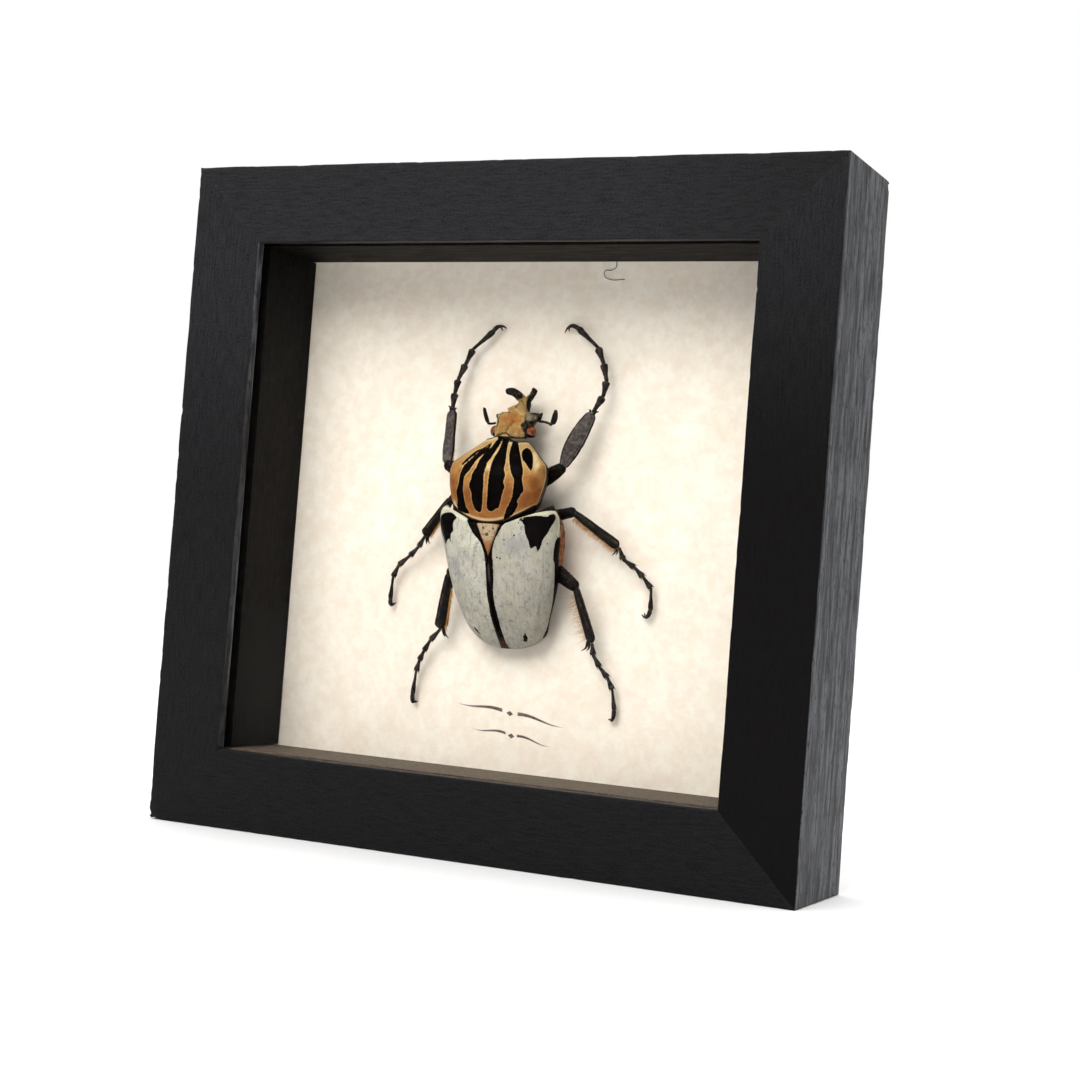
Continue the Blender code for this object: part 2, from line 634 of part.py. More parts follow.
def scutellum_half_width(z):
    run = (z - SCUTELLUM_TIP_Z) / (SCUTELLUM_BASE_Z - SCUTELLUM_TIP_Z)
    return SCUTELLUM_HALF_WIDTH * min(max(run, 0.0), 1.0)


def shell(name, rows, thickness, finish):
    """An open sheet with a thickness, whose outside faces away from the card."""
    count = len(rows[0])
    points = [point for row in rows for point in row]
    faces = []
    for row in range(len(rows) - 1):
        for column in range(count - 1):
            corner = row * count + column
            faces.append((corner, corner + 1, corner + count + 1, corner + count))
    mesh = bpy.data.meshes.new(name)
    mesh.from_pydata([tuple(point) for point in points], [], faces)
    if sum(face.normal.y * face.area for face in mesh.polygons) > 0:
        mesh.flip_normals()
    mesh.shade_smooth()
    made = link(name, mesh, finish)
    wall = made.modifiers.new("shell", "SOLIDIFY")
    wall.thickness = thickness * MM
    wall.offset = -1.0
    return made


def elytron(name, side, finish="chalk_shell"):
    """One wing case: rows run across it, from the scutellum or the suture out to the side edge."""
    last_z = ELYTRA_STATIONS[-1][0]
    rows = []
    for row in range(ELYTRON_ROWS):
        run = row / (ELYTRON_ROWS - 1)
        eased = math.sin(run * math.pi / 2) ** 0.85 if run else 0.0
        inner_z = SHOULDER_INNER_Z + (last_z - SHOULDER_INNER_Z) * eased
        outer_z = SHOULDER_OUTER_Z + (last_z - SHOULDER_OUTER_Z) * eased
        points = []
        for column in range(ELYTRON_COLUMNS):
            out = column / (ELYTRON_COLUMNS - 1)
            bulge = SHOULDER_BULGE * math.sin(math.pi * out) * (1.0 - eased) ** 3
            z = inner_z + (outer_z - inner_z) * out + bulge
            reach, edge, crown = elytra_at(z, side)
            start = scutellum_half_width(z) + (GAP if z > SCUTELLUM_TIP_Z else SUTURE_GAP)
            offset = start + (reach - start) * math.sin(out * math.pi / 2)
            points.append(spot(seam_x(z) + side * offset, z, dome(offset, reach, edge, crown)))
        rows.append(points)
    return shell(name, rows, ELYTRON_THICKNESS, finish)


def scutellum():
    """The small triangle between the wing cases: it lies in their curve and ends just above the seam."""
    blunt_tip_z, blunt_tip_half = SCUTELLUM_TIP_Z + 0.5, 0.25
    rows = []
    for row in range(6):
        z = SCUTELLUM_BASE_Z + (blunt_tip_z - SCUTELLUM_BASE_Z) * row / 5
        half = max(scutellum_half_width(z), blunt_tip_half)
        offsets = [half * step / 2 for step in (-2, -1, 0, 1, 2)]
        rows.append([spot(seam_x(z) + offset, z, shell_height(z, offset)) for offset in offsets])
    return shell("scutellum", rows, SCUTELLUM_THICKNESS, "horn_ochre")


def body_ring(midline, z_middle, z_side, half_width, widest, top, bottom, sides=20):
    """One cross section of a body segment, bowed so that its sides and its middle differ in z."""
    ring = []
    for step in range(sides):
        turn = 2 * math.pi * (step + 0.5) / sides
        reach = math.cos(turn)
        offset = half_width * reach
        rise = (1.0 - abs(reach) ** SHELL_POWER) ** (1.0 / SHELL_POWER)
        h = widest + ((top - widest) if math.sin(turn) > 0 else (bottom - widest)) * rise
        ring.append(spot(midline + offset, z_middle + (z_side - z_middle) * reach**2, h))
    return ring


def pronotum():
    rings = [body_ring(PRONOTUM_MIDLINE, *station, sides=22) for station in PRONOTUM_STATIONS]
    made = loft("pronotum", rings, "striped_shell")
    for side in ("left", "right"):
        add_boolean(made, thigh(f"front_{side}", GAP), "DIFFERENCE")
    return made


def thorax():
    rings = []
    for z_middle, z_side, *section in THORAX_STATIONS:
        rings.append(body_ring(seam_x(z_middle), z_middle, z_side, *section))
    made = loft("thorax", rings, "brown_shell")
    for pair in ("middle", "hind"):
        for side in ("left", "right"):
            add_boolean(made, thigh(f"{pair}_{side}", GAP), "DIFFERENCE")
    return made


def abdomen():
    rings = []
    for z, *section in ABDOMEN_STATIONS:
        rings.append(body_ring(seam_x(z), z, z, *section, sides=18))
    made = loft("abdomen", rings, "black_shell")
    for side in ("left", "right"):
        add_boolean(made, thigh(f"hind_{side}", GAP), "DIFFERENCE")
    return made


def head():
    rings = [
        body_ring(midline, z, z, half_width, widest, top, bottom, sides=18)
        for midline, z, half_width, widest, top, bottom in HEAD_STATIONS
    ]
    made = loft("head", rings, "horn_ochre")
    facing = (0.0, 0.35, 1.0)
    horn_parts = {"horn_stem": HORN_STEM, "horn_left": HORN_BRANCH_LEFT, "horn_right": HORN_BRANCH_RIGHT}
    for name, stations in horn_parts.items():
        add_boolean(made, blade(name, stations, facing, "horn_ochre"), "UNION")
    for side, stations in CLYPEUS_TEETH.items():
        tooth = blade(f"clypeus_tooth_{side}", stations, facing, "horn_ochre", sides=8)
        add_boolean(made, tooth, "UNION")
    for side in EYES:
        add_boolean(made, eye_ball(f"socket_{side}", side, EYE_RADIUS + GAP), "DIFFERENCE")
    return made


def eye_ball(name, side, radius):
    shape = bmesh.new()
    bmesh.ops.create_uvsphere(shape, u_segments=12, v_segments=8, radius=radius * MM)
    bmesh.ops.translate(shape, verts=shape.verts, vec=spot(*EYES[side]))
    mesh = bpy.data.meshes.new(name)
    shape.to_mesh(mesh)
    shape.free()
    mesh.shade_smooth()
    return link(name, mesh, "amber_eye")


def between(start, end, run):
    return tuple(a + (b - a) * run for a, b in zip(start, end))


def distance(start, end):
    return math.dist(start, end)


def thigh(leg, grow=0.0):
    """The femur, thickest in its middle. With grow it is a cutter that leaves room for the real one."""
    flat = (0.0, 0.0, 1.0)
    hip, knee = LEGS[leg]["hip"], LEGS[leg]["knee"]
    stations = [
        (*between(hip, knee, run), width, thickness)
        for run, width, thickness in zip(THIGH_RUNS, THIGH_WIDTHS, THIGH_THICKNESSES)
    ]
    end = between(hip, knee, 1.0 + KNEE_REACH / distance(hip, knee))
    stations.append((*end, KNEE_WIDTH, KNEE_THICKNESS))
    if grow:
        return blade(f"hip_socket_{leg}_{len(bpy.data.objects)}", stations, flat, "black_shell", grow=grow)
    made = blade(f"femur_{leg}", stations, flat, "black_shell")
    socket = blade(f"knee_socket_{leg}", shin_stations(leg)[:4], shin_normal(leg), "black_shell", grow=GAP)
    add_boolean(made, socket, "DIFFERENCE")
    return made


def shin_stations(leg):
    """Sections of the tibia, from the knee to the ankle."""
    shape = LEGS[leg]
    stations = []
    for run, width, thickness in zip(SHIN_RUNS, shape["shin"], SHIN_THICKNESSES):
        x, z, h = between(shape["knee"], shape["ankle"], run)
        stations.append((x + shape["bow"] * math.sin(math.pi * run), z, h, width, thickness))
    return stations


def shin_normal(leg):
    roll = math.radians(LEGS[leg]["roll"])
    return (math.sin(roll), 0.0, math.cos(roll))


def shin(leg):
    """The tibia with its end spurs."""
    shape = LEGS[leg]
    knee, ankle = shape["knee"], shape["ankle"]
    made = blade(f"tibia_{leg}", shin_stations(leg), shin_normal(leg), "black_shell")
    root = between(knee, ankle, 1.0 - 1.3 / distance(knee, ankle))
    for index, tip in enumerate(shape["spurs"]):
        base = tuple(a + 0.25 * b for a, b in zip(root, tip))
        end_point = tuple(a + b for a, b in zip(ankle, tip))
        spur = tube(f"spur_{leg}_{index}", ((*base, 0.45), (*end_point, 0.08)), "black_shell")
        add_boolean(made, spur, "UNION")
    return made


def foot(leg):
    """The tarsus: five joints, each narrow at its start and flared at its end, and a pair of claws."""
    shape = LEGS[leg]
    ankle, joints = shape["ankle"], shape["joints"]
    toward = distance(ankle, joints[0])
    start = between(ankle, joints[0], GAP / toward)
    stations = [(*start, FOOT_NECK_RADIUS)]
    for index, joint in enumerate(joints):
        before = start if index == 0 else joints[index - 1]
        flare = FOOT_FLARE_RADIUS * (0.95 if index < 4 else 0.85)
        stations.append((*between(before, joint, 0.66), flare * 0.82))
        stations.append((*between(before, joint, 0.88), flare))
        stations.append((*joint, FOOT_NECK_RADIUS if index < 4 else FOOT_NECK_RADIUS * 1.1))
    made = tube(f"tarsus_{leg}", stations, "black_shell")
    root, arch = between(joints[-2], joints[-1], 0.95), shape["arch"]
    for index, tip in enumerate(shape["claws"]):
        spread = CLAW_SPREAD * (1 if index else -1)
        base = (root[0], root[1], root[2] + spread * 0.25)
        crest = (arch[0], arch[1], arch[2] + spread)
        claw = []
        for run in (0.0, 0.25, 0.5, 0.75, 1.0):
            first, second = between(base, crest, run), between(crest, tip, run)
            claw.append((*between(first, second, run), CLAW_RADIUS * (1.0 - 0.75 * run)))
        add_boolean(made, tube(f"claw_{leg}_{index}", claw, "black_shell"), "UNION")
    return made


def make_beetle():
    head()
    for side in EYES:
        eye_ball(f"eye_{side}", side, EYE_RADIUS)
    tube("antenna_left", ANTENNA_LEFT, "black_shell", resolution=2)
    tube("antenna_right", ANTENNA_RIGHT, "black_shell", resolution=2)
    pronotum()
    scutellum()
    elytron("elytron_left", -1)
    elytron("elytron_right", 1)
    thorax()
    abdomen()
    for leg in LEGS:
        thigh(leg)
        shin(leg)
        foot(leg)


make_rails()
make_sheets()
make_spacers()
make_back_tabs()
make_hanger()
hanger_nail("hanger_nail_left", -1)
hanger_nail("hanger_nail_right", 1)
make_beetle()
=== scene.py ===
# %% [markdown]
# # A goliath beetle in a glazed box frame
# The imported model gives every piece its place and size. This script gives the pieces their looks: worn black
# wood, parchment, horny insect shell with its markings, and hair. Lengths are worked out in millimetres on the
# frame's own axes: x to the right, y to the back, z up, with h counted forwards from the parchment.

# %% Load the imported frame
import math

import bmesh
import bpy
import numpy as np
from mathutils import Matrix, Vector
from mathutils.bvhtree import BVHTree


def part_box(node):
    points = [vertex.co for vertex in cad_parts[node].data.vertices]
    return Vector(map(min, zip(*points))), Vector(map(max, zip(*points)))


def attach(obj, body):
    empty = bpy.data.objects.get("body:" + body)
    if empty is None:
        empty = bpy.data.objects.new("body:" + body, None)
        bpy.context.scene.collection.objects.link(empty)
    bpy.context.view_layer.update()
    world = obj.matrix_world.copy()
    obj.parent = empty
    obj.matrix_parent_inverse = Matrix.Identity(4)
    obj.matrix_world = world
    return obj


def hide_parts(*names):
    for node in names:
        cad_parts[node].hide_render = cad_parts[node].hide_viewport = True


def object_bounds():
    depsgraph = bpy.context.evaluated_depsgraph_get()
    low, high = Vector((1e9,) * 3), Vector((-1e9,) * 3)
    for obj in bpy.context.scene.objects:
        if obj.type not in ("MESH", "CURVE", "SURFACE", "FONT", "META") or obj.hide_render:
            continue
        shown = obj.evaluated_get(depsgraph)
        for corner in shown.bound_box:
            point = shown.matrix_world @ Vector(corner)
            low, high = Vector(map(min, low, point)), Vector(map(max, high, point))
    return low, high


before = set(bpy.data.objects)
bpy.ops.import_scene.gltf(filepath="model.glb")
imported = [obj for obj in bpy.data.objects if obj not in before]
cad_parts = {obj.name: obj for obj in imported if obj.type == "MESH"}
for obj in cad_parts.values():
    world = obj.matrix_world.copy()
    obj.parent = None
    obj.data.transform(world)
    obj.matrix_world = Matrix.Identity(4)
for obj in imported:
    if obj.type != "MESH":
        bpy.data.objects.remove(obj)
cad_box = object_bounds()
MM = 0.001
CARD_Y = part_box("parchment_card")[0].y / MM
print("loaded", len(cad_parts), "nodes; the parchment's face is at y =", round(CARD_Y, 2), "mm")

# %% [markdown]
# ## The camera
# The photograph was taken from the lower right of the frame, close by. These values come from fitting a camera
# to the corners of the frame, of its opening and of the parchment. The markings below are drawn with pixels
# of the photograph, so the camera is made first: it can turn a pixel into a ray.

# %% Camera
PHOTO_SIZE = 1080
LENS, SENSOR = 66.168, 36.0
CAMERA_AT = Vector((0.250786, -0.505537, 0.075076))
CAMERA_RIGHT = Vector((0.90238, 0.42416, 0.07619))
CAMERA_UP = Vector((-0.05758, -0.05655, 0.99674))
CAMERA_BACK = Vector((0.42709, -0.90382, -0.02661))


def linked(name, data):
    """An object in the scene, at the origin."""
    made = bpy.data.objects.new(name, data)
    bpy.context.scene.collection.objects.link(made)
    return made


def ray_through(pixel):
    """The direction in which the camera sees a pixel of the photograph."""
    across = (pixel[0] / PHOTO_SIZE - 0.5) * SENSOR / LENS
    up = (0.5 - pixel[1] / PHOTO_SIZE) * SENSOR / LENS
    return (CAMERA_RIGHT * across + CAMERA_UP * up - CAMERA_BACK).normalized()


def pixels_of(points):
    """Where points in metres show in the photograph, the other way round."""
    away = np.asarray(points) - np.array(CAMERA_AT)
    scale = LENS / SENSOR / -(away @ np.array(CAMERA_BACK))
    across, up = away @ np.array(CAMERA_RIGHT) * scale, away @ np.array(CAMERA_UP) * scale
    return np.stack((0.5 + across, 0.5 - up), axis=-1) * PHOTO_SIZE


camera_data = bpy.data.cameras.new("camera")
camera_data.lens, camera_data.sensor_width, camera_data.clip_start = LENS, SENSOR, 0.01
camera = linked("camera", camera_data)
turned = Matrix((CAMERA_RIGHT, CAMERA_UP, CAMERA_BACK)).transposed().to_4x4()
camera.matrix_world = Matrix.Translation(CAMERA_AT) @ turned
bpy.context.scene.camera = camera
print("camera at", [round(value, 3) for value in CAMERA_AT])

# %% [markdown]
# ## Small helpers for node trees
# A node tree is easier to read when a node is one call, with a value or another node's socket for each input.
# The same helpers serve the shaders and the Geometry Nodes, so they are the methods of one small class.

# %% Node helpers


def paint(red, green, blue):
    """A colour as a painter reads it off a screen, 0 to 255, turned into the linear values that nodes take."""
    linear = [(value / 255 / 12.92) if value < 10.3 else ((value / 255 + 0.055) / 1.055) ** 2.4
              for value in (red, green, blue)]
    return (*linear, 1.0)


class Nodes:
    """A node tree. A socket given as an input is linked, and anything else becomes the input's value."""

    def __init__(self, tree):
        self.tree = tree

    def feed(self, socket, value):
        if isinstance(value, bpy.types.NodeSocket):
            self.tree.links.new(value, socket)
        else:
            socket.default_value = value

    def add(self, kind, inputs=None, **settings):
        made = self.tree.nodes.new(kind)
        for name, value in settings.items():
            setattr(made, name, value)
        for name, value in (inputs or {}).items():
            self.feed(made.inputs[name], value)
        return made

    def placed(self, effect, **inputs):
        """Place an effect in the tree. Underscores in the names stand for spaces."""
        node = self.add("ShaderNodeGroup", node_tree=effect.tree)
        for name, value in inputs.items():
            self.feed(node.inputs[name.replace("_", " ")], value)
        return node.outputs

    def maths(self, operation, first, second=0.0, clamp=False):
        return self.add("ShaderNodeMath", {0: first, 1: second}, operation=operation, use_clamp=clamp).outputs[0]

    def times(self, first, second):
        return self.maths("MULTIPLY", first, second)

    def mixed(self, share, first, second, mode="MIX"):
        inputs = {0: share, 6: first, 7: second}
        return self.add("ShaderNodeMix", inputs, data_type="RGBA", blend_type=mode).outputs[2]

    def spread(self, value, low, high, to_low=0.0, to_high=1.0):
        """Stretch the range low to high over another range, and hold the ends."""
        inputs = {0: value, 1: low, 2: high, 3: to_low, 4: to_high}
        return self.add("ShaderNodeMapRange", inputs, interpolation_type="SMOOTHSTEP").outputs[0]

    def noise(self, vector, scale, detail=3.0, roughness=0.55, distortion=0.0):
        inputs = {"Vector": vector, "Scale": scale, "Detail": detail, "Roughness": roughness}
        return self.add("ShaderNodeTexNoise", inputs | {"Distortion": distortion}).outputs[0]

    def patchy(self, vector, scale, low, high, detail=3.0, roughness=0.55):
        """Patches where a noise lies between low and high or above."""
        return self.spread(self.noise(vector, scale, detail, roughness), low, high)

    def stretched(self, vector, scale, turn=(0.0, 0.0, 0.0)):
        return self.add("ShaderNodeMapping", {"Vector": vector, "Rotation": turn, "Scale": scale}).outputs[0]

    def joined(self, *values):
        return self.add("ShaderNodeCombineXYZ", dict(enumerate(values))).outputs[0]

    def vector_maths(self, operation, inputs):
        return self.add("ShaderNodeVectorMath", inputs, operation=operation).outputs[0]

    def split(self, vector):
        return self.add("ShaderNodeSeparateXYZ", {0: vector}).outputs


print("mid grey in linear light:", round(paint(128, 128, 128)[0], 3))

# %% [markdown]
# ## Effects that several finishes share
# Each effect is a shader node group with named inputs, built once. A group only puts out colours, masks and
# values: the Principled shader stays in each material. All lengths inside are millimetres, because the groups
# are fed with Object coordinates times a thousand.

# %% Shared effect groups
FLOAT, VECTOR, COLOUR, GEOMETRY = (f"NodeSocket{kind}" for kind in ("Float", "Vector", "Color", "Geometry"))
SOCKET_KINDS = {float: FLOAT, int: "NodeSocketInt", tuple: VECTOR}


def effect(name, outputs, inputs, kind="ShaderNodeTree"):
    """An empty group: its nodes, inputs and outputs. An input has a default value, or else a socket's kind."""
    group = bpy.data.node_groups.new(name, kind)
    for label, value in inputs.items():
        socket_kind = SOCKET_KINDS.get(type(value), value)
        socket = group.interface.new_socket(label, in_out="INPUT", socket_type=socket_kind)
        if socket_kind != value:
            socket.default_value = value
    for label, socket_kind in outputs.items():
        group.interface.new_socket(label, in_out="OUTPUT", socket_type=socket_kind)
    return Nodes(group), group.nodes.new("NodeGroupInput").outputs, group.nodes.new("NodeGroupOutput").inputs


# A drawn marking: inside its outline the distance is negative, and the edge wanders a little
ragged_edge, given, result = effect("ragged edge", {"Mask": FLOAT}, {
    "Vector": VECTOR, "Distance": 1.0, "Wander": 0.15, "Scale": 2.0, "Softness": 0.06})
wander = ragged_edge.maths("SUBTRACT", ragged_edge.noise(given["Vector"], given["Scale"], 4.0), 0.5)
wander = ragged_edge.times(ragged_edge.times(wander, given["Wander"]), 2.0)
edge = ragged_edge.maths("ADD", given["Distance"], wander)
inside = ragged_edge.spread(edge, ragged_edge.times(given["Softness"], -1.0), given["Softness"], 1.0, 0.0)
ragged_edge.feed(result["Mask"], inside)

# Two colours that run into each other in clouds
clouds, given, result = effect("clouded colour", {"Color": COLOUR}, {
    "Vector": VECTOR, "First": COLOUR, "Second": COLOUR, "Scale": 0.3, "Balance": 0.5, "Contrast": 0.2})
low, high = (clouds.maths(operation, given["Balance"], given["Contrast"]) for operation in ("SUBTRACT", "ADD"))
cloud = clouds.patchy(given["Vector"], given["Scale"], low, high, 5.0, 0.6)
clouds.feed(result["Color"], clouds.mixed(cloud, given["First"], given["Second"]))

# Wood: long streaks and short pores, stretched by the vector that comes in
grain, given, result = effect("wood grain", {"Streaks": FLOAT, "Pores": FLOAT}, {
    "Vector": VECTOR, "Streak Scale": 1.0})
streaks = grain.noise(given["Vector"], given["Streak Scale"], 8.0, 0.65, distortion=0.3)
grain.feed(result["Streaks"], grain.spread(streaks, 0.3, 0.7))
grain.feed(result["Pores"], grain.patchy(given["Vector"], grain.times(given["Streak Scale"], 5.0), 0.56, 0.68))

# Wear: corners that stick out are rubbed, in patches
worn, given, result = effect("rubbed edges", {"Mask": FLOAT}, {
    "Vector": VECTOR, "Reach": 0.04, "Scale": 0.4, "Amount": 0.5})
sharp = worn.maths("SUBTRACT", worn.add("ShaderNodeNewGeometry").outputs["Pointiness"], 0.5)
rubbed = worn.maths("DIVIDE", sharp, given["Reach"], clamp=True)
rubbed = worn.times(rubbed, worn.patchy(given["Vector"], given["Scale"], 0.42, 0.66, 6.0, 0.7))
worn.feed(result["Mask"], worn.maths("MULTIPLY", rubbed, given["Amount"], clamp=True))

# Fine dark cracks and scratches, as the borders between stretched cells
cracks, given, result = effect("fine cracks", {"Mask": FLOAT}, {
    "Vector": VECTOR, "Scale": 0.5, "Width": 0.03, "Amount": 0.5})
bent = cracks.add("ShaderNodeTexNoise", {"Vector": given["Vector"], "Scale": 0.45, "Detail": 4.0})
bent = cracks.vector_maths("MULTIPLY", {0: bent.outputs["Color"], 1: (3.0, 3.0, 3.0)})
bent = cracks.vector_maths("ADD", {0: given["Vector"], 1: bent})
cells = cracks.add("ShaderNodeTexVoronoi", {"Vector": bent, "Scale": given["Scale"]}, feature="DISTANCE_TO_EDGE")
line = cracks.spread(cells.outputs["Distance"], 0.0, given["Width"], 1.0, 0.0)
line = cracks.times(line, cracks.patchy(given["Vector"], 0.35, 0.48, 0.62, 2.0))
cracks.feed(result["Mask"], cracks.maths("MULTIPLY", line, given["Amount"], clamp=True))

# Small round specks: pits, fibres' ends or dust
specks, given, result = effect("specks", {"Mask": FLOAT}, {"Vector": VECTOR, "Scale": 1.0, "Size": 0.15})
dots = specks.add("ShaderNodeTexVoronoi", {"Vector": given["Vector"], "Scale": given["Scale"]})
specks.feed(result["Mask"], specks.spread(dots.outputs["Distance"], 0.0, given["Size"], 1.0, 0.0))
print("effect groups:", ", ".join(group.name for group in bpy.data.node_groups))

# %% [markdown]
# ## Materials start the same way
# A material is made with its Principled shader and a vector in millimetres. Numbers that are the same all over
# a surface are set on the shader's own sockets. The colour starts with two clouded tones, and grows by layers
# that are laid over it where a mask says. Relief comes from Bump nodes, given in millimetres too.

# %% Material helpers


class Finish(Nodes):
    """A material in the making, with its shader, its place in millimetres and its colour so far."""

    def __init__(self, name, roughness=0.5, specular=0.5, **values):
        self.material = bpy.data.materials.new(name)
        self.material.use_nodes = True
        super().__init__(self.material.node_tree)
        self.shader = self.tree.nodes["Principled BSDF"]
        for label, value in {"Roughness": roughness, "Specular_IOR_Level": specular, **values}.items():
            self.shader.inputs[label.replace("_", " ")].default_value = value
        self.place = self.stretched(self.add("ShaderNodeTexCoord").outputs["Object"], (1000.0, 1000.0, 1000.0))

    def clouded(self, vector, first, second, scale, balance, contrast):
        """Two screen colours in clouds."""
        return self.placed(clouds, Vector=vector, First=paint(*first), Second=paint(*second), Scale=scale,
                           Balance=balance, Contrast=contrast)[0]

    def start(self, first, second, scale, balance, contrast):
        self.colour = self.clouded(self.place, first, second, scale, balance, contrast)

    def lay(self, mask, rgb, share=1.0):
        """Lay a screen colour over the colour so far where the mask is, as strongly as the share says."""
        self.colour = self.mixed(mask if share == 1.0 else self.times(mask, share), self.colour, paint(*rgb))

    def speckled(self, vector, scale, size):
        return self.placed(specks, Vector=vector, Scale=scale, Size=size)[0]

    def rubbed(self, reach, scale, amount):
        return self.placed(worn, Vector=self.place, Reach=reach, Scale=scale, Amount=amount)[0]

    def drawn(self, name):
        """A value that the mesh carries at every point, such as the distance to a marking."""
        return self.add("ShaderNodeAttribute", attribute_name=name).outputs["Fac"]

    def marking(self, name, wander, scale, softness, vector=None):
        """The mask of a marking that the mesh carries as a distance."""
        return self.placed(ragged_edge, Vector=self.place if vector is None else vector, Distance=self.drawn(name),
                           Wander=wander, Scale=scale, Softness=softness)[0]

    def finished(self, *reliefs, **sockets):
        """Feed the shader its colour, its other sockets and bumps of (height socket, depth in millimetres)."""
        for label, socket in {"Base_Color": self.colour, **sockets}.items():
            self.tree.links.new(socket, self.shader.inputs[label.replace("_", " ")])
        normal = None
        for height, depth in reliefs:
            bump_node = self.add("ShaderNodeBump", {"Height": height, "Distance": depth * MM, "Strength": 1.0})
            if normal is not None:
                self.tree.links.new(normal, bump_node.inputs["Normal"])
            normal = bump_node.outputs["Normal"]
            self.tree.links.new(normal, self.shader.inputs["Normal"])
        return self.material


def give(piece, finish):
    """Give a piece or a node one material."""
    piece.data.materials.clear()
    piece.data.materials.append(finish)
    return piece


def dress(finish, slot, *names):
    """Give a finish to nodes that keep their own shape. The slot is not used."""
    for name in names:
        give(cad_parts[name], finish)
    print(finish.name, "on", *names)


# %% [markdown]
# ## The wood of the case
# The rails are stained almost black over a fine grain, and rubbed at their edges. The grain runs along each
# rail, so there are two materials that differ in the direction of stretch and in where painted shade darkens
# their fronts. The side that faces right is painted paler, a painted reflection, over its real streaks. The
# inner strips are dark brown and duller, painted lighter at the bottom and darker at the top and sides as
# painted light and shade.

# %% Wood finishes


def facing(wood):
    return wood.split(wood.add("ShaderNodeNewGeometry").outputs["Normal"])


def painted_shade_by_place(wood, upright):
    """Painted shade on the front: darker down the left rail, along the bottom, and most on the right rail."""
    place = wood.split(wood.add("ShaderNodeTexCoord").outputs["Object"])
    share = wood.spread(place["Z"], 0.17, 0.09, 0.0, 0.5)
    if upright:
        right = wood.times(wood.spread(place["X"], -0.01, 0.01), wood.spread(place["Z"], 0.19, 0.1, 0.2, 0.88))
    else:
        right = wood.spread(place["X"], 0.03, 0.095, 0.0, 0.35)
    return wood.times(wood.maths("MAXIMUM", share, right), wood.spread(facing(wood)["Y"], -0.4, -0.8))


def stained_wood(name, along, dark, light, rubbed, rub, streak, roughness, painted_sheen_and_shade=False):
    wood = Finish(name, roughness=roughness, specular=0.07)
    place = wood.place
    stretch = tuple(0.09 if axis == along else 1.0 for axis in "xyz")
    streaks, pores = wood.placed(grain, Vector=wood.stretched(place, stretch), Streak_Scale=streak)
    fine = wood.patchy(place, 1.8, 0.42, 0.62, 5.0, 0.75)
    wood.colour = wood.mixed(wood.times(streaks, 0.7), paint(*dark), paint(*light))
    wood.lay(fine, light, 0.65)
    wood.lay(wood.rubbed(0.05, 0.35, rub), rubbed)
    wood.lay(wood.speckled(place, 0.42, 0.05), rubbed, 0.5)
    # Painted light: the side that faces right is painted paler and bluish, a painted reflection of the bright
    # surroundings, over its real dark streaks, and the front is darkened in places as painted shade.
    if painted_sheen_and_shade:  # the side that faces right is paler and streaked
        front = wood.colour
        streaky = wood.stretched(place, (1.0, 1.0, 0.14))
        wood.colour = wood.clouded(streaky, (30, 30, 31), (92, 94, 98), 0.5, 0.48, 0.13)
        wood.lay(wood.patchy(wood.stretched(place, (1.0, 1.0, 0.02)), 0.2, 0.48, 0.58), (38, 38, 38), 0.6)
        wood.lay(wood.patchy(wood.stretched(place, (1.0, 1.0, 0.6)), 0.7, 0.54, 0.66, 5.0), (26, 26, 26), 0.8)
        wood.colour = wood.mixed(wood.spread(facing(wood)["X"], 0.6, 0.9, 0.0, 0.92), front, wood.colour)
        # Painted shade: the front faces are darker down the left rail, along the bottom and most on the right rail.
        wood.lay(painted_shade_by_place(wood, along == "z"), (5, 3, 3))
    return wood.finished((streaks, 0.02), (pores, -0.02), (fine, 0.012),
                         Roughness=wood.spread(streaks, 0.0, 1.0, roughness - 0.08, roughness + 0.1))


BLACK_STAIN, WORN_STAIN, RUBBED = (18, 18, 19), (46, 46, 49), (84, 80, 76)
wood_across, wood_upright = (
    stained_wood(f"black_wood_{way}", axis, BLACK_STAIN, WORN_STAIN, RUBBED, 0.14, 1.9, 0.46, painted_sheen_and_shade=True)
    for way, axis in (("across", "x"), ("upright", "z")))
# The inner strips are one brown wood in lit and shaded copies: the bottom strip is painted lighter as painted
# light, the top and side strips darker as painted shade.
for way, axis, dark, light, rubbed, sides in (
        ("across", "x", (52, 45, 38), (104, 92, 80), (130, 116, 100), ("bottom",)),
        ("top", "x", (8, 6, 5), (20, 17, 14), (40, 35, 30), ("top",)),
        ("upright", "z", (5, 4, 4), (17, 15, 13), (44, 39, 34), ("left", "right"))):
    strip = stained_wood(f"brown_strip_{way}", axis, dark, light, rubbed, 0.3, 0.9, 0.62)
    dress(strip, "dark_wood", *(f"spacer_{side}" for side in sides))

# %% [markdown]
# ## Smooth curves through a few stations
# Rails, shells and limbs are all skins stretched over sections that a few stations describe. A monotone cubic
# passes through the stations and never swings past them, so a shell gets no ripples.

# %% Curves


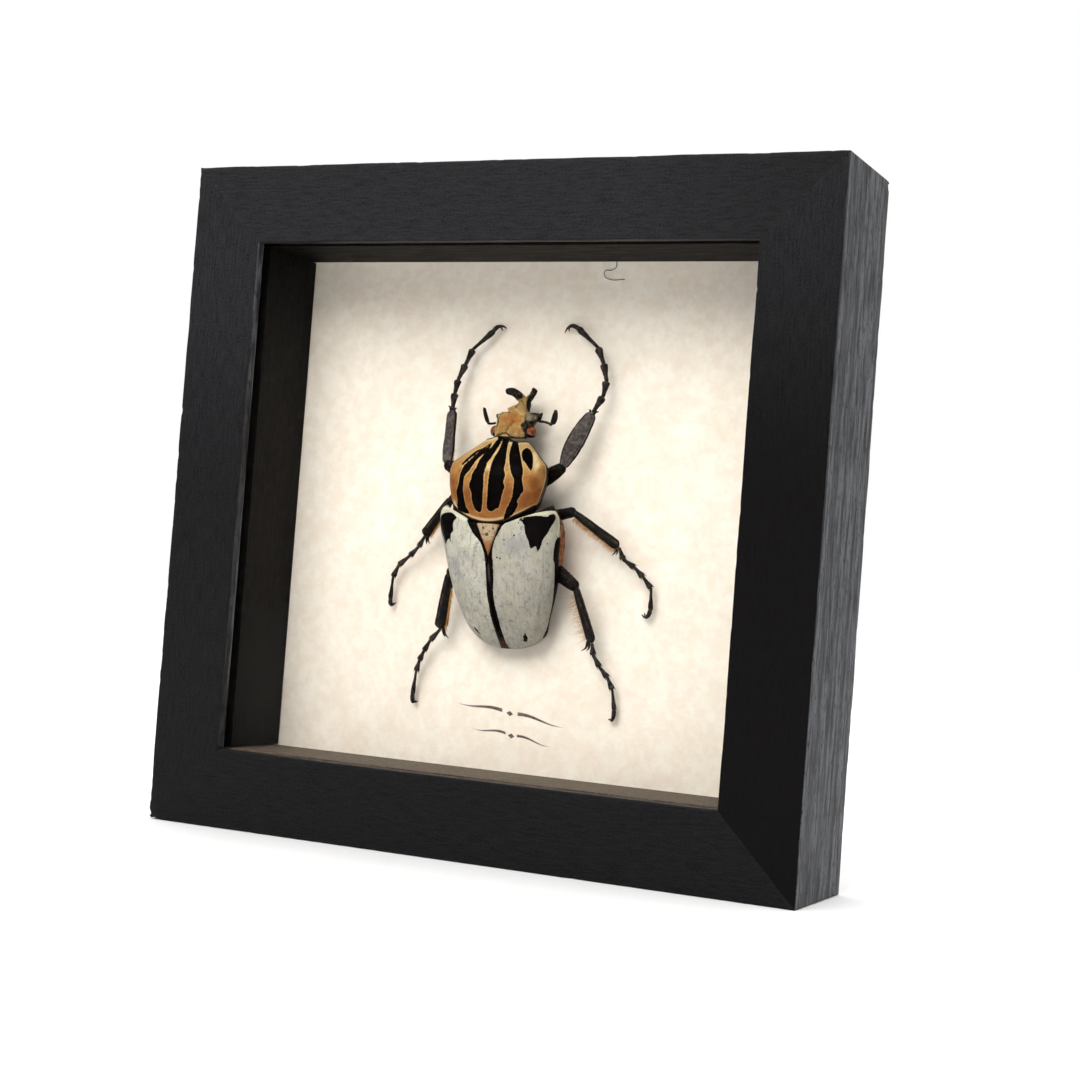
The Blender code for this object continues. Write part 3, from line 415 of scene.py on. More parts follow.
def smooth_between(knots, values, at):
    """A smooth curve through the knots that never swings past them."""
    knots, values = np.asarray(knots, float), np.asarray(values, float)
    at = np.clip(np.asarray(at, float), knots[0], knots[-1])
    steps = np.diff(knots)
    slopes = np.diff(values) / steps
    tangents = np.zeros(len(knots))
    tangents[0], tangents[-1] = slopes[0], slopes[-1]
    product = slopes[:-1] * slopes[1:]
    same = product > 0
    tangents[1:-1][same] = 2 * product[same] / (slopes[:-1] + slopes[1:])[same]
    i = np.clip(np.searchsorted(knots, at, side="right") - 1, 0, len(steps) - 1)
    t = (at - knots[i]) / steps[i]
    return (
        (2 * t**3 - 3 * t**2 + 1) * values[i]
        + (t**3 - 2 * t**2 + t) * steps[i] * tangents[i]
        + (3 * t**2 - 2 * t**3) * values[i + 1]
        + (t**3 - t**2) * steps[i] * tangents[i + 1]
    )


def through(stations, count):
    """The columns of a table of stations, filled in smoothly to a larger count of rows."""
    at = np.linspace(0, len(stations) - 1, count)
    return [smooth_between(range(len(stations)), column, at)[:, None] for column in np.array(stations, float).T]


def stacked(x, y, z):
    return np.stack(np.broadcast_arrays(x, y, z), axis=-1)


def spot(x, z, h):
    """Points in metres from x, z and the height h in front of the parchment, all in millimetres."""
    return stacked(x, CARD_Y - h, z) * MM


def bump(distance, reach):
    """A soft hill: 1 at distance 0, and 0 from reach outwards."""
    share = np.clip(1.0 - (np.asarray(distance) / reach) ** 2, 0.0, 1.0)
    return share * share


def unit(vectors):
    return vectors / np.linalg.norm(vectors, axis=-1, keepdims=True)


def wavy(points, size, seed):
    """Smooth random values from -1 to 1 over points in millimetres, from a sum of turned sine waves."""
    chance = np.random.default_rng(seed)
    total = np.zeros(points.shape[:-1])
    for _ in range(7):
        direction = chance.normal(size=3)
        direction *= 2 * math.pi / (size * chance.uniform(0.6, 1.6)) / np.linalg.norm(direction)
        total += np.sin(points @ direction + chance.uniform(0, 2 * math.pi))
    return np.clip(total / 3.2, -1, 1)


print("halfway up a rising curve:", float(smooth_between((0, 1, 2), (0, 1, 4), 0.5)))

# %% [markdown]
# ## From grids to pieces
# A skin is a grid of points with a face between each four. A sheet has two such grids and a rim, and a limb
# is a grid that is wrapped around and closed at its ends. A mesh can carry a number for every point, which a
# shader reads later.

# %% Grids and pieces


def add_piece(name, points, faces, finish):
    """A smooth mesh at the origin, with its faces turned outwards."""
    mesh = bpy.data.meshes.new(name)
    mesh.from_pydata(np.asarray(points).reshape(-1, 3).tolist(), [], faces)
    shape = bmesh.new()
    shape.from_mesh(mesh)
    bmesh.ops.recalc_face_normals(shape, faces=shape.faces)
    shape.to_mesh(mesh)
    shape.free()
    mesh.shade_smooth()
    return give(linked(name, mesh), finish)


def grid_faces(rows, columns, start=0, wrap=False):
    faces = []
    for near in range(start, start + (rows - 1) * columns, columns):
        far = near + columns
        for column in range(columns if wrap else columns - 1):
            following = (column + 1) % columns
            faces.append((near + column, near + following, far + following, far + column))
    return faces


def walled_sheet(name, front, back, finish):
    """A sheet with a front, a back and a rim, from two grids of points in metres."""
    rows, columns = front.shape[:2]
    count = rows * columns
    faces = grid_faces(rows, columns)
    faces += [tuple(index + count for index in reversed(face)) for face in faces]
    rim = [*range(columns), *range(2 * columns - 1, count, columns)]
    rim += [*range(count - 2, count - columns - 1, -1), *range(count - 2 * columns, 0, -columns)]
    faces += [(a, b, b + count, a + count) for a, b in zip(rim, rim[1:] + rim[:1])]
    return add_piece(name, np.concatenate((front.reshape(-1, 3), back.reshape(-1, 3))), faces, finish)


def set_values(piece, **fields):
    """Store numbers for every point of a mesh. A sheet's back takes the numbers of its front."""
    for name, values in fields.items():
        held = piece.data.attributes.get(name) or piece.data.attributes.new(name, "FLOAT", "POINT")
        held.data.foreach_set("value", np.resize(values, len(piece.data.vertices)).astype(np.float32))


def get_values(piece, *names):
    """The numbers stored under each name, side by side for several names."""
    values = np.zeros((len(names), len(piece.data.vertices)), np.float32)
    for row, name in zip(values, names):
        piece.data.attributes[name].data.foreach_get("value", row)
    return values[0] if len(names) == 1 else values.T


def points_of(piece):
    points = np.zeros(len(piece.data.vertices) * 3, np.float32)
    piece.data.vertices.foreach_get("co", points)
    return points.reshape(-1, 3)


def plain_mesh(shape):
    """A plain mesh of an object with its modifiers or its bevel applied."""
    return bpy.data.meshes.new_from_object(shape.evaluated_get(bpy.context.evaluated_depsgraph_get()))


def hand_over(piece, slot, *nodes):
    """Let a finished piece ride on the frame, in place of its CAD nodes if it has any."""
    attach(piece, "root")
    if nodes:
        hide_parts(*nodes)
    print(f"{piece.name}: {sum(len(face.vertices) - 2 for face in piece.data.polygons)} triangles")


# %% [markdown]
# ## The rails
# A rail is one L-shaped section, a lip in front and a rebate behind, run along the side of the frame and cut
# off at 45 degrees. Here the section has rounded corners, and a hand tool would have left its edges uneven:
# the points near an edge sink in a little by a seeded noise, and the corners that the photograph shows
# knocked are pressed in.

# %% Rails
frame_low, frame_high = (corner / MM for corner in cad_box)
WIDTH, HEIGHT = frame_high.x - frame_low.x, frame_high.z
RAIL_FACE, LIP_DEPTH, REBATE_WIDTH = 22.7, 3.5, 5.5
CORNER_RADIUS, INNER_RADIUS = 0.55, 0.1
RAIL_ROWS = 220
JOINT_GAP = 0.03
# Where a corner or edge is knocked: x, y, z, reach and depth
KNOCKS = (
    (-99.5, -19.5, 0.5, 2.6, 0.9), (99.5, 19.5, 193.5, 2.4, 0.9), (99.6, -19.4, 192.8, 1.6, 0.45),
    (100.0, 8.0, 184.0, 1.8, 0.7), (-62.0, -19.5, 22.6, 1.2, 0.35), (-99.8, -19.5, 121.0, 1.4, 0.3),
    (38.0, -19.5, 0.0, 1.8, 0.35), (77.2, -19.5, 158.0, 1.1, 0.4), (99.9, -19.5, 62.0, 1.3, 0.3),
)


def rounded_corner(before, corner, after, radius, steps=4):
    """Points of an arc that rounds a corner of an outline."""
    to_before, to_after = unit(np.subtract(before, corner)), unit(np.subtract(after, corner))
    centre = corner + (to_before + to_after) * radius
    return [centre - to_after * radius * math.cos(turn) - to_before * radius * math.sin(turn)
            for turn in np.linspace(0, math.pi / 2, steps + 1)]


def rail_section():
    """The L outline as (y, height above the outer edge), with extra points beside each corner."""
    front, back, rebate = frame_low.y, frame_high.y, RAIL_FACE - REBATE_WIDTH
    lip = front + LIP_DEPTH
    corners = [(front, 0), (back, 0), (back, rebate), (lip, rebate), (lip, RAIL_FACE), (front, RAIL_FACE)]
    arcs = [rounded_corner(before, corner, after, INNER_RADIUS if corner == (lip, rebate) else CORNER_RADIUS)
            for before, corner, after in zip(corners[-1:] + corners[:-1], corners, corners[1:] + corners[:1])]
    outline = []
    for arc, following in zip(arcs, arcs[1:] + arcs[:1]):
        run = following[0] - arc[-1]
        length = np.linalg.norm(run)
        stops = [stop / length for stop in (0.8, 2.5) if 2 * stop < length]
        outline += arc + [arc[-1] + run * share for share in (*stops, *(1 - stop for stop in reversed(stops)))]
    return np.array(outline)


def make_rail(side, length, place, finish, seed):
    """One rail. place turns (along, y, height) into x, y and z."""
    section = rail_section()
    (y, height), count = section.T, len(section)
    runs = np.linspace(-1, 1, RAIL_ROWS)[:, None]
    along = runs * (length / 2 - height - JOINT_GAP)
    points = place(along, y, height)
    inward_y, inward_h = unit(section.mean(axis=0) - section).T
    sharp = ((frame_low.y, 0), (frame_high.y, 0), (frame_low.y, RAIL_FACE))
    near_edge = np.max([bump(np.hypot(*(section - corner).T), 1.6) for corner in sharp], axis=0)
    uneven = 0.10 * (1 + wavy(points, 14.0, seed)) + 0.22 * np.clip(wavy(points, 4.0, seed + 1) - 0.35, 0, 1)
    sink = near_edge * uneven + 0.03 * (1 + wavy(points, 30.0, seed + 2)) * (runs**2 < 0.98)
    for *knock, reach, depth in KNOCKS:
        away = np.linalg.norm(points - knock, axis=-1)
        sink = sink + depth * bump(away, reach) * (1 + 0.4 * wavy(points, 1.5, seed + 3))
    moved = place(along, y + inward_y * sink, height + inward_h * sink)
    ends = [tuple(range(start, start + count)) for start in (0, (RAIL_ROWS - 1) * count)]
    piece = add_piece(f"rail_{side}_worn", moved * MM, grid_faces(RAIL_ROWS, count, wrap=True) + ends, finish)
    piece.data.set_sharp_from_angle(angle=math.radians(50))
    hand_over(piece, "black_wood", f"frame_rail_{side}")


make_rail("bottom", WIDTH, stacked, wood_across, 11)
make_rail("top", WIDTH, lambda a, y, h: stacked(a, y, HEIGHT - h), wood_across, 21)
make_rail("left", HEIGHT, lambda a, y, h: stacked(h - WIDTH / 2, y, a + HEIGHT / 2), wood_upright, 31)
make_rail("right", HEIGHT, lambda a, y, h: stacked(WIDTH / 2 - h, y, a + HEIGHT / 2), wood_upright, 41)

# %% [markdown]
# ## The glass
# Picture glass is clear and thin, so what shows is what is behind it. The shader is plain transmission. Shadow
# rays pass straight through by a transparent shader, or the beetle would sit in the dark behind its glass.

# %% Glass
glass = Finish("picture_glass", roughness=0.0, Base_Color=(0.985, 0.995, 0.99, 1.0), Transmission_Weight=1.0,
               IOR=1.08)
is_shadow = glass.add("ShaderNodeLightPath").outputs["Is Shadow Ray"]
clear = glass.add("ShaderNodeBsdfTransparent", {"Color": (0.97, 0.98, 0.975, 1.0)}).outputs[0]
either = glass.add("ShaderNodeMixShader", {0: is_shadow, 1: glass.shader.outputs[0], 2: clear}).outputs[0]
glass.feed(glass.tree.nodes["Material Output"].inputs["Surface"], either)
dress(glass.material, "clear_glass", "glass_pane")

# %% [markdown]
# ## The parchment
# The card is covered with a mottled cream parchment paper that has cockled slightly, most at its borders. Two
# plain tapered flourishes in brown ink decorate it below the beetle, drawn in the shader from distances alone.

# %% Parchment
card_low, card_high = (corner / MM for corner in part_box("parchment_card"))
PAPER_COLUMNS, PAPER_ROWS = 150, 146
FLOURISHES = ((0.2, 39.6, 17.2, 0.55), (1.2, 33.2, 12.6, 0.42))  # x, z, half length, half thickness
FLOURISH_TILT = -0.115


def flourish(paper, x, z, half_length, half_thickness):
    """A line that swells in the middle and tapers to its ends, with a gap around a small lozenge."""
    place, maths, times, spread = paper.split(paper.place), paper.maths, paper.times, paper.spread
    across = maths("SUBTRACT", place["X"], x)
    up = maths("SUBTRACT", maths("SUBTRACT", place["Z"], z), times(across, FLOURISH_TILT))
    share = maths("DIVIDE", maths("ABSOLUTE", across), half_length)
    away = maths("ABSOLUTE", maths("SUBTRACT", up, times(maths("SINE", times(share, 5.4)), 0.55)))
    taper = times(maths("SUBTRACT", 1.0, maths("POWER", share, 1.6)), half_thickness)
    line = times(spread(maths("SUBTRACT", away, taper), -0.1, 0.08, 1.0, 0.0), spread(share, 0.13, 0.16))
    lozenge = maths("ADD", maths("ABSOLUTE", across), times(maths("ABSOLUTE", up), 1.5))
    return maths("MAXIMUM", line, spread(lozenge, 1.0, 1.2, 1.0, 0.0))


def parchment_finish():
    paper = Finish("parchment", roughness=0.85, specular=0.2)
    place = paper.place
    paper.start((238, 226, 211), (245, 235, 222), 0.1, 0.5, 0.25)
    warm = paper.clouded(place, (255, 255, 255), (243, 233, 224), 0.34, 0.5, 0.12)
    paper.colour = paper.mixed(0.4, paper.colour, warm, mode="MULTIPLY")
    fibre = paper.noise(paper.stretched(place, (0.7, 1.0, 1.6), (0.0, 0.5, 0.0)), 1.9, 6.0)
    paper.lay(paper.spread(fibre, 0.55, 0.8), (205, 192, 170), 0.16)
    paper.lay(paper.speckled(place, 0.14, 0.03), (150, 128, 98), 0.35)
    ink = paper.maths("MAXIMUM", *(flourish(paper, *row) for row in FLOURISHES))
    worn_ink = paper.spread(paper.noise(place, 3.0, 4.0), 0.25, 0.6, 0.72, 1.0)
    paper.lay(paper.times(ink, worn_ink), (70, 58, 48))
    return paper.finished((paper.noise(place, 0.35), 0.12), (fibre, 0.035))


x, z = np.meshgrid(np.linspace(card_low.x, card_high.x, PAPER_COLUMNS),
                   np.linspace(card_low.z, card_high.z, PAPER_ROWS))
from_border = np.minimum.reduce((x - card_low.x, card_high.x - x, z - card_low.z, card_high.z - z))
behind_lip = RAIL_FACE - card_low.z + frame_low.z
place = stacked(x, 0.0, z)
swell = 0.10 * wavy(place, 55.0, 5) + 0.20 * wavy(place, 16.0, 6) * bump(from_border - behind_lip, 9.0)
front, back = spot(x, z, np.clip(swell, -0.2, 0.28)), stacked(x, card_high.y, z) * MM
hand_over(walled_sheet("parchment_sheet", front, back, parchment_finish()), "parchment", "parchment_card")

# %% [markdown]
# ## The back of the case
# Nobody looks there, but it is finished: a panel of brown hardboard held by flat steel points, and a
# saw-tooth hanger with two nails. Their shapes are right as they are, so the nodes stay and only get finishes.

# %% Back panel and fittings
board = Finish("hardboard", roughness=0.8, specular=0.25)
board.start((120, 82, 52), (158, 114, 76), 0.25, 0.5, 0.2)
fluff = board.noise(board.place, 1.4, 8.0, 0.75)
board.lay(board.spread(fluff, 0.4, 0.7), (176, 132, 92))
board.lay(board.speckled(board.stretched(board.place, (1.0, 1.0, 0.3)), 0.9, 0.2), (88, 58, 36), 0.4)
dress(board.finished((fluff, 0.06)), "fibreboard", "back_panel")

steel = Finish("plated_steel", roughness=0.35, Metallic=1.0)
brushed = steel.noise(steel.stretched(steel.place, (0.15, 1.0, 3.0)), 2.0, 6.0)
dull = steel.patchy(steel.place, 0.5, 0.4, 0.7, 5.0)
steel.colour = steel.mixed(dull, paint(176, 176, 172), paint(132, 128, 120))
plated = steel.finished((brushed, 0.01), Roughness=steel.spread(brushed, 0.3, 0.7, 0.28, 0.5))
dress(plated, "steel", "hanger_plate", "hanger_nail_left", "hanger_nail_right",
      *(f"back_tab_{side}" for side in ("top", "bottom", "left", "right")))

# %% [markdown]
# ## Drawing markings on a shell
# A beetle's markings are colour and not relief, and their edges are sharp. So each marking is an outline,
# drawn with pixels of the photograph. A ray through each pixel finds its place on the shell, and
# there the shell's own two measures, across and along it in millimetres, give a flat map. On that map every
# point of the mesh gets its distance to the outline, negative inside. The shader cuts the colour where the
# distance is nought, so the edge stays sharp between the mesh's points.

# %% Tools for markings


def seen_on(piece, pixels):
    """Where pixels of the photograph lie on a piece, as (across, along) on its map."""
    corners, maps = points_of(piece), get_values(piece, "across", "along")
    faces = [tuple(face.vertices) for face in piece.data.polygons]
    tree = BVHTree.FromPolygons(corners.tolist(), faces)
    middle = Vector(corners.mean(axis=0))
    found = []
    for direction in map(ray_through, pixels):
        hit, _, face, _ = tree.ray_cast(CAMERA_AT, direction)
        if hit is None:
            beside = CAMERA_AT + direction * (middle - CAMERA_AT).dot(direction)
            hit, _, face, _ = tree.find_nearest(beside)
        members = list(faces[face])
        weights = 1.0 / (np.linalg.norm(corners[members] - np.array(hit), axis=1) ** 2 + 1e-12)
        found.append((maps[members] * weights[:, None]).sum(axis=0) / weights.sum())
    return np.array(found)


def eased(outline, closed=True, steps=4):
    """A softer outline that still goes through the same points."""
    points = np.asarray(outline, float)
    if not closed:
        points = np.vstack((2 * points[0] - points[1], points, 2 * points[-1] - points[-2]))
    before, near, far, after = (np.roll(points, shift, axis=0)[:, None] for shift in (1, 0, -1, -2))
    t = np.arange(steps)[None, :, None] / steps
    curve = 0.5 * (2 * near + (far - before) * t + (2 * before - 5 * near + 4 * far - after) * t**2
                   + (3 * near - before - 3 * far + after) * t**3)
    return curve.reshape(-1, 2) if closed else np.vstack((curve[1:-2].reshape(-1, 2), points[-2]))


def distance_to_line(points, line):
    nearest = np.full(len(points), np.inf)
    for start, end in zip(line[:-1], line[1:]):
        edge = end - start
        run = np.clip((points - start) @ edge / max(edge @ edge, 1e-9), 0, 1)
        nearest = np.minimum(nearest, ((points - start - run[:, None] * edge) ** 2).sum(axis=1))
    return np.sqrt(nearest)


def signed_distance(points, outline):
    """Distance to a closed outline, negative inside."""
    ring = np.vstack((outline, outline[:1]))
    inside = np.zeros(len(points), bool)
    for (ax, ay), (bx, by) in zip(ring[:-1], ring[1:]):
        if ay != by:
            crosses = (ay > points[:, 1]) != (by > points[:, 1])
            inside ^= crosses & (points[:, 0] < (bx - ax) * (points[:, 1] - ay) / (by - ay) + ax)
    return np.where(inside, -1.0, 1.0) * distance_to_line(points, ring)


def draw(piece, name, areas=(), lines=(), dots=(), find=seen_on):
    """Write the distance to the nearest of some areas, (line, half width) pairs and (dot, radius) pairs."""
    points = get_values(piece, "across", "along").astype(float)
    reached = [signed_distance(points, eased(find(piece, area))) for area in areas]
    reached += [distance_to_line(points, eased(find(piece, line), closed=False)) - half for line, half in lines]
    if dots:
        centres = find(piece, [dot for dot, _ in dots])
        reached += [np.linalg.norm(points - centre, axis=1) - radius for centre, (_, radius) in zip(centres, dots)]
    set_values(piece, **{name: np.min(reached, axis=0)})


print("distance from the origin to a line:", distance_to_line(np.zeros((1, 2)), np.array(((3, 4), (6, 8)))))

# %% [markdown]
# ## The wing cases
# The two wing cases are one dome cut along the seam. A few stations down the body give the dome's half width
# and its heights, and each row of points runs from the seam out to the side edge. On top of the plain dome
# come a raised seam, two faint ribs, the shoulder and tip bosses, and a rolled edge.

# %% Shape of the wing cases
MIDLINE_X, MIDLINE_LEAN, MIDLINE_LEAN_FROM = -1.8, 0.055, 90.0
SHELL_POWER = 2.2
# z, reach of the left and of the right case, h of the side edge and of the crown
ELYTRA_STATIONS = np.array((
    (99.6, 13.8, 14.5, 12.0, 19.6), (98.8, 16.0, 16.8, 11.9, 19.5), (97.7, 17.5, 18.3, 11.8, 19.5),
    (96.0, 18.2, 19.0, 11.7, 19.4), (92.0, 18.4, 19.3, 11.5, 19.2), (85.5, 17.1, 18.6, 10.9, 18.5),
    (79.0, 16.2, 17.9, 9.2, 17.3), (73.0, 15.1, 16.0, 7.3, 15.6), (67.5, 13.4, 14.0, 5.8, 12.7),
    (63.5, 11.5, 12.8, 5.0, 9.9), (60.6, 8.6, 9.6, 4.7, 7.4), (59.0, 5.3, 5.8, 4.6, 5.9),
    (58.4, 2.4, 2.4, 4.6, 5.2),
))[::-1]
SHOULDER_INNER_Z, SHOULDER_OUTER_Z, SHOULDER_BULGE = 93.3, 98.4, 1.6
SCUTELLUM_BASE_Z, SCUTELLUM_TIP_Z, SCUTELLUM_HALF_WIDTH = 93.1, 84.4, 3.6
SEAM_GAP, WING_CASE_WALL = 0.05, 0.6
WING_ROWS, WING_COLUMNS = 170, 96
MIDDLE_Z = 79.0
RIBS, RIB_HEIGHT, RIB_WIDTH = (0.36, 0.62), 0.14, 1.4
# Bosses on the shoulder and near the tip, and a hollow inwards of the shoulder: share, scale, z, reach, height
BOSSES = ((0.74, 24, 94.6, 4.2, 0.55), (0.55, 20, 65.0, 3.6, 0.45), (0.42, 24, 92.8, 4.0, -0.30))


def midline(z):
    return MIDLINE_X + MIDLINE_LEAN * (MIDLINE_LEAN_FROM - np.asarray(z))


def wing_case_at(z, side):
    """Reach from the seam, side edge and crown of the left (-1) or right (1) wing case at z."""
    columns = (1 if side < 0 else 2, 3, 4)
    return [smooth_between(ELYTRA_STATIONS[:, 0], ELYTRA_STATIONS[:, column], z) for column in columns]


def dome(offset, half_width, edge_h, crown_h):
    share = np.clip(np.abs(offset) / half_width, 0, 1)
    return edge_h + (crown_h - edge_h) * (1 - share**SHELL_POWER) ** (1 / SHELL_POWER)


def scutellum_half_width(z):
    return SCUTELLUM_HALF_WIDTH * np.clip((z - SCUTELLUM_TIP_Z) / (SCUTELLUM_BASE_Z - SCUTELLUM_TIP_Z), 0, 1)


def make_wing_case(side_name, side, finish):
    run = np.linspace(0, 1, WING_ROWS)[:, None]
    down = np.where(run > 0, np.sin(run * math.pi / 2) ** 0.85, 0.0)
    last_z = ELYTRA_STATIONS[0, 0]
    inner_z = SHOULDER_INNER_Z + (last_z - SHOULDER_INNER_Z) * down
    outer_z = SHOULDER_OUTER_Z + (last_z - SHOULDER_OUTER_Z) * down
    out = np.linspace(0, 1, WING_COLUMNS)[None, :]
    z = inner_z + (outer_z - inner_z) * out + SHOULDER_BULGE * np.sin(math.pi * out) * (1 - down) ** 3
    half_width, edge_h, crown_h = wing_case_at(z, side)
    start = scutellum_half_width(z) + SEAM_GAP
    offset = start + (half_width - start) * np.sin(out * math.pi / 2)
    h = dome(offset, half_width, edge_h, crown_h)
    from_seam, from_edge = offset - start, (1 - out) * half_width * math.pi / 2
    # The raised seam with a groove beside it
    h = h + 0.16 * bump(from_seam - 0.3, 0.8) - 0.12 * bump(from_seam - 1.35, 0.6)
    for rib in RIBS:
        fading = np.clip(np.minimum(down, 1 - down) * 6, 0, 1)
        h = h + RIB_HEIGHT * fading * bump((out - rib) * half_width * 1.4, RIB_WIDTH)
    for share, scale, boss_z, reach, height in BOSSES:
        h = h + height * bump(np.hypot((out - share) * scale, z - boss_z), reach)
    # The rolled side edge with a groove beside it, and the front edge bent down
    h = h + 0.12 * bump(from_edge - 0.35, 0.4) - 0.10 * bump(from_edge - 1.1, 0.5)
    h = h - 0.7 * (1 - np.clip(down * 70, 0, 1)) ** 2
    x = midline(z) + side * offset
    h = h + 0.05 * wavy(stacked(x, 0 * x, z), 7.0, 61 + side) * np.clip(from_edge / 3, 0, 1)
    # The inside follows the outside, drawn in along the side edge and at both ends
    inner_x = x - side * 0.75 * WING_CASE_WALL * (offset / half_width) ** 2
    inner_z = z - WING_CASE_WALL * 0.6 * np.clip((z - MIDDLE_Z) / 20, -1, 1) ** 3
    inside = spot(inner_x, inner_z, h - WING_CASE_WALL)
    piece = walled_sheet(f"wing_case_{side_name}", spot(x, z, h), inside, finish)
    across = side * (start + (half_width - start) * out * math.pi / 2)
    set_values(piece, across=across, along=z, from_seam=from_seam, from_edge=from_edge)
    return piece


print("wing cases reach", ELYTRA_STATIONS[:, 1:3].max(axis=0), "mm from the seam")

# %% [markdown]
# The markings: a large black patch on each shoulder that drips backwards, the black seam, black side edges,
# a cream band along the front, small dots, and a small lozenge near each tip.

# %% Markings of the wing cases
SHOULDER_LEFT = (
    (440.3, 513.3), (449.5, 512.2), (453.3, 513.3), (457.1, 516.6), (457.6, 518.2), (454.4, 520.9), (453.3, 525.8),
    (453.9, 530.1), (451.7, 533.4), (451.1, 537.7), (451.1, 544.7), (450.1, 539.3), (448.4, 539.3), (446.3, 544.2),
    (444.1, 537.7), (440.8, 522.5),
)
SHOULDER_RIGHT = (
    (518.9, 518.7), (523.2, 519.3), (525.4, 515.5), (538.4, 516.0), (547.1, 517.1), (550.3, 514.9), (554.7, 514.4),
    (556.3, 518.2), (553.6, 523.6), (550.3, 529.0), (546.5, 535.5), (542.7, 541.0), (541.7, 545.3), (538.4, 551.8),
    (536.8, 549.1), (535.7, 546.4), (530.8, 548.5), (528.7, 541.0), (525.4, 533.4), (524.3, 525.8), (522.2, 521.4),
)
SEAM_LEFT_SIDE = (
    (467.4, 521.4), (473.4, 533.4), (481.0, 543.1), (484.7, 555.0), (485.8, 565.9), (486.4, 576.7), (486.9, 587.6),
    (487.5, 596.2), (489.1, 604.4), (490.7, 614.7), (495.0, 629.3), (499.4, 641.8), (502.1, 648.1),
)
SEAM_RIGHT_SIDE = (
    (510.2, 648.1), (505.9, 641.8), (501.6, 629.3), (497.8, 614.7), (495.0, 604.4), (494.0, 596.2), (493.4, 587.6),
    (494.0, 576.7), (493.4, 565.9), (492.9, 555.0), (495.0, 541.0), (500.5, 530.1), (510.2, 521.4),
)
SIDE_INNER_RIGHT = (
    (558.6, 537.0), (555.8, 542.0), (554.2, 552.0), (553.8, 560.0), (555.0, 564.4), (555.0, 574.0), (554.6, 585.6),
    (553.2, 600.0), (551.2, 612.0), (548.6, 624.0), (545.2, 633.5), (540.5, 641.0), (535.5, 645.6),
)
TIP_LEFT = (((469.8, 633.4), 0.3), ((470.8, 636.0), 0.45), ((471.8, 638.6), 0.5), ((473.4, 641.2), 0.3))
TIP_RIGHT = (
    (525.4, 633.1), (527.0, 635.8), (528.1, 637.4), (527.6, 641.2), (525.9, 641.8), (523.8, 641.2), (524.1, 638.0),
    (523.0, 636.9), (524.5, 635.3),
)
FRONT_BAND_LEFT = ((441.0, 513.5), (444.1, 508.6), (451.0, 508.2), (457.1, 511.7), (465.8, 519.8))
FRONT_BAND_RIGHT = (
    (521.0, 514.8), (530.8, 511.2), (543.8, 511.0), (554.7, 512.2), (558.6, 516.5), (559.4, 523.5), (557.9, 534.4),
)
DOTS_RIGHT = (
    ((514.6, 535.5), 0.32), ((504.3, 540.1), 0.26), ((497.2, 557.4), 0.3), ((500.5, 558.5), 0.28),
    ((547.6, 544.2), 0.3), ((520.5, 519.5), 0.3), ((519.0, 523.0), 0.2),
)
SMUDGES = {
    "left": (((455.5, 566.0), 2.2), ((459.0, 574.0), 1.2)), "right": (((515.0, 546.0), 2.6), ((521.0, 541.0), 1.6)),
}
BAND_HALF_WIDTH, BLACK_EDGE_WIDTH = 0.48, 0.25
print("smudges on each side:", {side_name: len(spots) for side_name, spots in SMUDGES.items()})

# %% Wing cases


